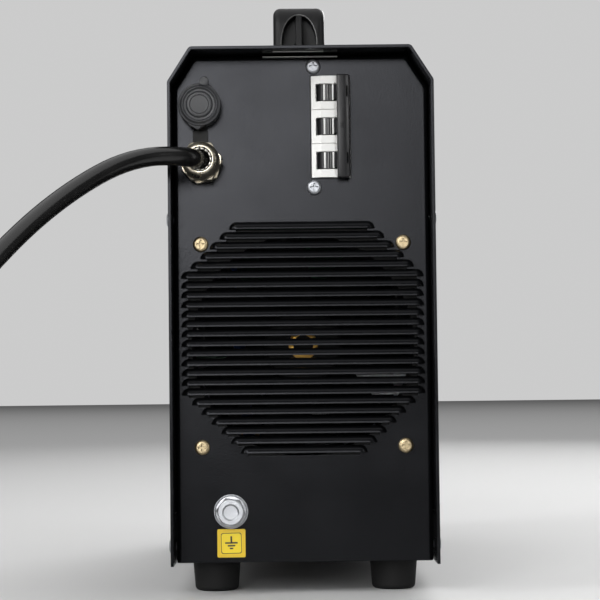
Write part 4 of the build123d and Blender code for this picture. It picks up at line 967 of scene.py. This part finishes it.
class CUTTER_OT_earth_point(bpy.types.Operator):
    """Flanged earth bolt and the label under it"""

    bl_idname = "plasma_cutter.earth_point"
    bl_label = "Earth point"

    def bolt(self):
        """Bolt with a chamfered, dished hexagon head, a flange and a thread."""
        finish = surface(
            "bolt_zinc", (0.42, 0.43, 0.45), 0.38, metallic=1.0, grain=700.0, grain_depth=0.00005,
            blotch=260.0, roughness_spread=0.1, edge=0.0003, wear=(0.6, 0.6, 0.6),
        )
        low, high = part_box("ground_bolt")
        seat = middle("ground_bolt")
        seat.y = REAR_FACE - 0.0012
        mesh_edit = bmesh.new()
        spin_profile(mesh_edit, BOLT_HEAD, seat, 72)
        cut_flats(mesh_edit, seat, BOLT_FLATS, BOLT_TURN)
        spin_profile(mesh_edit, BOLT_FLANGE, seat, 72)
        reach = (high.y - seat.y) * 1000
        thread = [(0, 0.5), (THREAD_RADIUS, 0.5)]
        for step in range(int((reach - 1) / THREAD_PITCH)):
            thread.append((THREAD_RADIUS, -THREAD_PITCH * step))
            thread.append((THREAD_ROOT, -THREAD_PITCH * (step + 0.5)))
        thread += [(3.2, -reach), (0, -reach)]
        spin_profile(mesh_edit, thread, seat, 32)
        bolt = settle(mesh_edit, "earth_bolt", finish, "case", crease=25)
        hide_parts("ground_bolt")

    def label(self, settings):
        """Earth symbol and border printed on the label."""
        paper = surface(
            "label_yellow", tuple(settings.background), 0.4, grain=3000.0,
            grain_depth=0.000004, blotch=120.0, variation=0.05, edge=0.0001,
        )
        paint_nodes(paper, "earth_label")
        bright = surface(
            "label_field", (0.82, 0.62, 0.006), 0.38, grain=3000.0, grain_depth=0.000004,
            blotch=120.0, variation=0.04, edge=0.0001,
        )
        ink = surface(
            "label_ink", (0.012, 0.010, 0.006), 0.45, grain=3000.0, grain_depth=0.000006,
            blotch=200.0, variation=0.2, edge=0.0001,
        )
        centre = middle("earth_label")
        centre.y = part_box("earth_label")[0].y
        tilt = Matrix.Rotation(radians(1.2), 3, OUT)
        for name, size, depth, finish in (
            ("label_border", 10.6, 0.04, ink),
            ("label_field", 10.0, 0.06, bright),
        ):
            mesh_edit = bmesh.new()
            corners = block(mesh_edit, centre, (size, 2 * depth, size), turn=tilt)
            upright = [
                edge for edge in edges_at(corners)
                if abs(edge.verts[0].co.y - edge.verts[1].co.y) > depth / 1000
            ]
            round_edges(mesh_edit, upright, LABEL_CORNER, 6)
            settle(mesh_edit, name, finish, "case", smooth=False)
        mesh_edit = bmesh.new()
        line = settings.print_width * 1000
        block(mesh_edit, centre + tilt @ mm(0, 0, 1.9), (line * 1.1, PRINT_DEPTH, 3.4), turn=tilt)
        for x, z, width in LABEL_BARS:
            block(mesh_edit, centre + tilt @ mm(x, 0, z), (width, PRINT_DEPTH, line), turn=tilt)
        settle(mesh_edit, "label_symbol", ink, "case", smooth=False)

    def execute(self, context):
        self.bolt()
        self.label(context.scene.cutter_label)
        return {"FINISHED"}


ARCH_HALF_WIDTH = 9.65
ARCH_HEIGHT = 15.5
ARCH_BELOW_TOP = 21.1
ARCH_FOOT = 5.0
HANDLE_RAKE = 5.0
HANDLE_ROUND = 12.0
# light strips under the cover top; their colour paints the highlight lines along the top edge
# X, step out from the rear face and down from the ceiling in metres; size and bevel in mm
HIGHLIGHT_STRIPS = (
    ((0, 0.0025, 0.0011), (38.8, 3.0, 0.5), 0.12),
    ((-0.001, 0.013, 0.0001), (26.0, 1.6, 0.4), 0.1),
)


class CUTTER_OT_handle_seat(bpy.types.Operator):
    """Lip round the recess in the handle's end, lighter than the handle as a painted highlight,
    and the backing plate under the cover, whose light colour paints the highlight lines there
    """

    bl_idname = "plasma_cutter.handle_seat"
    bl_label = "Handle seat"

    def lip_section(self, mesh_edit, x, z, outward):
        """Edges of one section of the lip, standing on the raked and rounded end of the handle."""
        low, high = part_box("handle")
        height = (high.z - low.z) * 1000
        tilt = atan2(HANDLE_RAKE, height)
        level = height - HANDLE_ROUND
        touch = level + HANDLE_ROUND * sin(tilt)
        depth = HANDLE_RAKE * min(z, touch) / height
        if z > touch:
            rise = z - level
            depth += HANDLE_ROUND * cos(tilt) - sqrt(HANDLE_ROUND**2 - rise**2)
        place = Vector((0, low.y, low.z)) + mm(x, depth, z)
        corners = [
            mesh_edit.verts.new(place + outward * width / 1000 + mm(0, reach, 0))
            for width, reach in ((-0.1, 0.3), (0.05, -0.16), (0.4, -0.2), (0.65, 0.3))
        ]
        return [
            mesh_edit.edges.new((corners[step - 1], corners[step])) for step in range(len(corners))
        ]

    def lip(self, finish):
        """Thin raised lip along the arch of the recess, in a lighter colour that paints the arch's
        highlight.
        """
        height = (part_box("handle")[1].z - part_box("handle")[0].z) * 1000
        spring = height - ARCH_BELOW_TOP
        line = [(-ARCH_HALF_WIDTH, z) for z in (ARCH_FOOT, (ARCH_FOOT + spring) / 2)]
        for step in range(33):
            angle = pi - pi * step / 32
            line.append((ARCH_HALF_WIDTH * cos(angle), spring + ARCH_HEIGHT * sin(angle)))
        line += [(ARCH_HALF_WIDTH, z) for z in ((ARCH_FOOT + spring) / 2, ARCH_FOOT)]
        mesh_edit = bmesh.new()
        sections = []
        for x, z in line:
            above = max(0.0, z - spring)
            outward = Vector((x / ARCH_HALF_WIDTH**2, 0, above / ARCH_HEIGHT**2)).normalized()
            sections.append(self.lip_section(mesh_edit, x, z, outward))
        for first, second in zip(sections, sections[1:]):
            bmesh.ops.bridge_loops(mesh_edit, edges=first + second)
        for end in (sections[0], sections[-1]):
            bmesh.ops.edgeloop_fill(mesh_edit, edges=end)
        settle(mesh_edit, "handle_lip_highlight", finish, "case", crease=50)

    def execute(self, context):
        # lighter, glossier finish than the handle: painted highlight along the arch's outline
        edge = surface(
            "handle_lip_highlight", (0.05, 0.05, 0.048), 0.3, grain=2200.0, grain_depth=0.00001,
            edge=0.0002, specular=0.6,
        )
        self.lip(edge)
        # light finish for the strips: painted highlight lines under the cover top
        plate = surface(
            "backing_painted_highlight", (0.30, 0.30, 0.29), 0.4, metallic=0.6, grain=1400.0,
            grain_depth=0.00002, blotch=300.0, variation=0.25, edge=0.0001,
        )
        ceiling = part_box("rear_panel")[1].z
        mesh_edit = bmesh.new()
        for (x, out, drop), size, bevel in HIGHLIGHT_STRIPS:
            place = Vector((x, REAR_FACE - out, ceiling - drop))
            block(mesh_edit, place, size, bevel)
        settle(mesh_edit, "backing_highlight_strips", plate, "case")
        return {"FINISHED"}


# ---------------------------------------------------------------- inside
HUB_RING = ((5.2, -0.3), (5.2, 0.3), (7.3, 0.3), (7.6, 0.1), (7.6, -0.3), (5.2, -0.3))
FAN_FINISH = ((0.006, 0.006, 0.006), 0.5)
# colour, roughness and metallic of each finish, and the CAD nodes that have it
INNER_FINISHES = {
    "bearing_steel": (((0.6, 0.6, 0.62), 0.25, 1.0), ("fan_bearings",)),
    "brass": (
        ((0.72, 0.50, 0.18), 0.3, 1.0),
        ("air_inlet_fitting", "air_inlet_nut", "torch_connector", "torch_connector_nut"),
    ),
    "aluminium": (((0.66, 0.67, 0.69), 0.38, 1.0), ("heatsink_left", "heatsink_right")),
    "board_green": (((0.012, 0.09, 0.035), 0.38), ("power_board", "control_board")),
    "core_steel": (((0.20, 0.20, 0.21), 0.5, 0.8), ("transformer_core",)),
    "winding_copper": (((0.55, 0.22, 0.08), 0.3, 0.9), ("transformer_winding",)),
    "capacitor_sleeve": (((0.02, 0.022, 0.03), 0.35), ("capacitors",)),
    "fascia_plastic": (((0.03, 0.03, 0.033), 0.42), ("control_fascia",)),
    "display_smoke": (((0.012, 0.004, 0.004), 0.12), ("display_window",)),
    "knob_plastic": (((0.016, 0.016, 0.017), 0.4), ("current_knob", "mode_rocker")),
    "button_green": (((0.02, 0.28, 0.07), 0.35), ("air_test_button",)),
    "socket_plastic": (((0.02, 0.02, 0.021), 0.45), ("trigger_socket", "work_socket")),
    "hose_blue": (((0.02, 0.09, 0.35), 0.35), ("air_hose",)),
    "valve_coil": (((0.02, 0.02, 0.022), 0.4), ("solenoid_valve",)),
    "pot_steel": (((0.5, 0.5, 0.52), 0.35, 1.0), ("potentiometer",)),
}


class CUTTER_OT_inside(bpy.types.Operator):
    """Finish of the parts inside the case and of the front controls, and the fan's hub ring"""

    bl_idname = "plasma_cutter.inside"
    bl_label = "Inside and front"

    def execute(self, context):
        paint_nodes(surface("fan_plastic", *FAN_FINISH, specular=0.15), "fan_frame", "fan_rotor")
        for name, (values, nodes) in INNER_FINISHES.items():
            paint_nodes(surface(name, *values), *nodes)

        gold = surface(
            "hub_ring", (0.62, 0.36, 0.08), 0.3, metallic=1.0, grain=1500.0, grain_depth=0.00001,
            blotch=200.0, edge=0.0002, wear=(0.8, 0.6, 0.3),
        )
        centre = middle("fan_rotor")
        centre.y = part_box("fan_rotor")[0].y
        ring = bmesh.new()
        spin_profile(ring, HUB_RING, centre)
        settle(ring, "hub_ring", gold, "fan_rotor")
        return {"FINISHED"}


# ---------------------------------------------------------------- front controls
FACING_FRONT = Matrix(((-1, 0, 0), (0, 0, 1), (0, 1, 0)))
LENS = ((0, -0.4), (2.2, -0.4), (2.3, 0.2), (2.2, 0.9), (1.7, 1.5), (0.9, 1.85), (0, 1.95))
LAMPS = (
    ("power_lamp", (0.02, 0.45, 0.05)),
    ("heat_lamp", (0.75, 0.42, 0.01)),
    ("fault_lamp", (0.6, 0.02, 0.012)),
)
LAMP_INSET = 0.0024
BEZEL = (
    (2.35, -0.2), (3.3, -0.2), (3.3, 0.3), (3.0, 0.6), (2.6, 0.6), (2.35, 0.3), (2.35, -0.2)
)
COLLAR = (
    (6.5, -0.2), (8.6, -0.2), (8.6, 0.5), (8.0, 1.0), (7.0, 1.0), (6.5, 0.6), (6.5, -0.2)
)
TICK_START = 17.6
FIGURE_REACH = 23.0
FIGURE_SIZE = 4.2
ROCKER_MARKS = (("I", 13.6), ("O", -13.6))
KNOB_RIBS = 30
RIB_SIZE = (1.1, 12.0, 1.3)
RIB_RADIUS, RIB_DEPTH, RIB_LEAN = 14.98, 0.0073, 4.0
SCALE = (20, 30, 40, 50, 60)
SCALE_REACH = 135.0
SEGMENTS = {
    "top": (0, 6.2, 5.2, 1.1), "middle": (0, 0, 5.2, 1.1), "bottom": (0, -6.2, 5.2, 1.1),
    "upper_left": (-3.2, 3.1, 1.1, 5.2), "lower_left": (-3.2, -3.1, 1.1, 5.2),
    "upper_right": (3.2, 3.1, 1.1, 5.2), "lower_right": (3.2, -3.1, 1.1, 5.2),
}
DIGITS = {
    4: ("upper_left", "upper_right", "middle", "lower_right"),
    0: ("top", "bottom", "upper_left", "lower_left", "upper_right", "lower_right"),
}


class CUTTER_OT_front(bpy.types.Operator):
    """Scale, digits, lamps, knob grip and marks on the control fascia"""

    bl_idname = "plasma_cutter.front"
    bl_label = "Front controls"

    def figure(self, text, place, finish):
        """Raised number or mark on the fascia, as a mesh."""
        curve = bpy.data.curves.new("mark_" + text, "FONT")
        curve.body = text
        curve.size = FIGURE_SIZE / 1000
        curve.extrude = 0.00008
        curve.align_x = "CENTER"
        curve.align_y = "CENTER"
        source = bpy.data.objects.new("mark_" + text, curve)
        mesh = bpy.data.meshes.new_from_object(source)
        bpy.data.objects.remove(source)
        bpy.data.curves.remove(curve)
        mesh.transform(Matrix.Translation(place) @ FACING_FRONT.to_4x4())
        mesh.materials.clear()
        mesh.materials.append(finish)
        piece = bpy.data.objects.new("mark_" + text, mesh)
        bpy.context.scene.collection.objects.link(piece)
        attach(piece, "case")

    def scale(self, ink):
        """Ticks and numbers round the current knob."""
        centre = middle("current_knob")
        centre.y = FRONT_FACE
        ticks = bmesh.new()
        steps = 4 * (len(SCALE) - 1)
        for step in range(steps + 1):
            angle = radians(-SCALE_REACH + 2 * SCALE_REACH * step / steps)
            outward = Vector((-sin(angle), 0, cos(angle)))
            major = step % 4 == 0
            length = 2.4 if major else 1.4
            turn = Matrix.Rotation(angle, 3, OUT)
            block(
                ticks,
                centre + outward * (TICK_START + length / 2) / 1000,
                (0.45 if major else 0.3, PRINT_DEPTH, length),
                turn=turn,
            )
            if major:
                place = centre + outward * (FIGURE_REACH / 1000)
                self.figure(str(SCALE[step // 4]), place, ink)
        settle(ticks, "knob_scale", ink, "case", smooth=False)

    def knob_grip(self, plastic, ink):
        """Grip ribs round the knob and the pointer on its face."""
        low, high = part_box("current_knob")
        centre = middle("current_knob")
        ribs = bmesh.new()
        lean = Matrix.Rotation(radians(RIB_LEAN), 3, "Z")
        for step in range(KNOB_RIBS):
            turn = Matrix.Rotation(2 * pi * step / KNOB_RIBS, 3, OUT)
            place = Vector((centre.x, low.y + RIB_DEPTH, centre.z)) + turn @ mm(RIB_RADIUS, 0, 0)
            block(ribs, place, RIB_SIZE, 0.35, turn @ lean)
        settle(ribs, "knob_ribs", plastic, "current_knob")
        pointer = bmesh.new()
        place = Vector((centre.x, high.y - 0.0007, centre.z + 0.0096))
        block(pointer, place, (1.2, 0.9, 8.8), 0.1)
        settle(pointer, "knob_pointer", ink, "current_knob")

    def display(self, lit):
        """Two seven-segment digits on the window's face."""
        place = middle("display_window")
        place.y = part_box("display_window")[1].y
        digits = bmesh.new()
        for offset, digit in ((7.0, 4), (-7.0, 0)):
            for segment in DIGITS[digit]:
                x, z, width, height = SEGMENTS[segment]
                block(digits, place + mm(offset - x, -0.02, z), (width, PRINT_DEPTH, height))
        settle(digits, "display_digits", lit, "case", smooth=False)

    def execute(self, context):
        ink = surface(
            "fascia_ink", (0.62, 0.62, 0.60), 0.4, grain=2600.0, grain_depth=0.000006,
            blotch=160.0, variation=0.06, edge=0.0001,
        )
        plastic = surface(
            "knob_grip", (0.014, 0.014, 0.015), 0.42, grain=2200.0, grain_depth=0.00002,
            edge=0.0003,
        )
        chrome = surface(
            "bezel_chrome", (0.62, 0.63, 0.65), 0.2, metallic=1.0, grain=1500.0,
            grain_depth=0.00001, blotch=200.0, edge=0.0002,
        )
        lit = surface(
            "display_lit", (0.75, 0.03, 0.015), 0.3, grain=1500.0, grain_depth=0.000004,
            blotch=300.0, variation=0.1, edge=0.0001,
        )
        shader = lit.node_tree.nodes["Principled BSDF"]
        shader.inputs["Emission Color"].default_value = (1.0, 0.05, 0.02, 1.0)
        shader.inputs["Emission Strength"].default_value = 0.6
        self.scale(ink)
        self.knob_grip(plastic, ink)
        self.display(lit)

        low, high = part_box("indicator_lamps")
        column = Vector(((low.x + high.x) / 2, FRONT_FACE, 0))
        levels = (low.z + LAMP_INSET, (low.z + high.z) / 2, high.z - LAMP_INSET)
        bezels = bmesh.new()
        for (name, colour), level in zip(LAMPS, levels):
            place = column + UP * level
            spin_profile(bezels, BEZEL, place, 40, -OUT)
            lens = bmesh.new()
            spin_profile(lens, LENS, place, 40, -OUT)
            glass = surface(
                name, colour, 0.16, grain=900.0, grain_depth=0.000006, blotch=300.0,
                variation=0.1, edge=0.0002,
            )
            settle(lens, name, glass, "case", crease=60)
        holder = settle(bezels, "lamp_bezels", chrome, "case")
        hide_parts("indicator_lamps")

        button = middle("air_test_button")
        button.y = FRONT_FACE
        collar = bmesh.new()
        spin_profile(collar, COLLAR, button, axis=-OUT)
        settle(collar, "button_collar", chrome, "case")
        rocker = middle("mode_rocker")
        rocker.y = FRONT_FACE
        for mark, rise in ROCKER_MARKS:
            self.figure(mark, rocker + mm(0, 0, rise), ink)
        return {"FINISHED"}


# ---------------------------------------------------------------- panel and main
OPERATORS = (
    CUTTER_OT_stage,
    CUTTER_OT_plug,
    CUTTER_OT_cord,
    CUTTER_OT_case_finish,
    CUTTER_OT_breaker,
    CUTTER_OT_gland,
    CUTTER_OT_port_cap,
    CUTTER_OT_earth_point,
    CUTTER_OT_handle_seat,
    CUTTER_OT_inside,
    CUTTER_OT_front,
)


class CUTTER_PT_panel(bpy.types.Panel):
    """Lists the settings and the pieces of the plasma cutter unit"""

    bl_idname = "CUTTER_PT_panel"
    bl_label = "Plasma Cutter"
    bl_space_type = "VIEW_3D"
    bl_region_type = "UI"
    bl_category = "Plasma Cutter"

    def draw(self, context):
        for name, group in SETTINGS.items():
            box = self.layout.box()
            box.label(text=group.__doc__)
            for setting in group.__annotations__:
                box.prop(getattr(context.scene, name), setting)
        for operator in OPERATORS:
            self.layout.operator(operator.bl_idname)


CLASSES = (*SETTINGS.values(), *OPERATORS, CUTTER_PT_panel)


def register():
    for item in CLASSES:
        bpy.utils.register_class(item)
    for name, group in SETTINGS.items():
        setattr(bpy.types.Scene, name, bpy.props.PointerProperty(type=group))


def unregister():
    for name in SETTINGS:
        delattr(bpy.types.Scene, name)
    for item in reversed(CLASSES):
        bpy.utils.unregister_class(item)


def main():
    register()
    for operator in OPERATORS:
        group, action = operator.bl_idname.split(".")
        getattr(getattr(bpy.ops, group), action)()


if __name__ == "__main__":
    main()
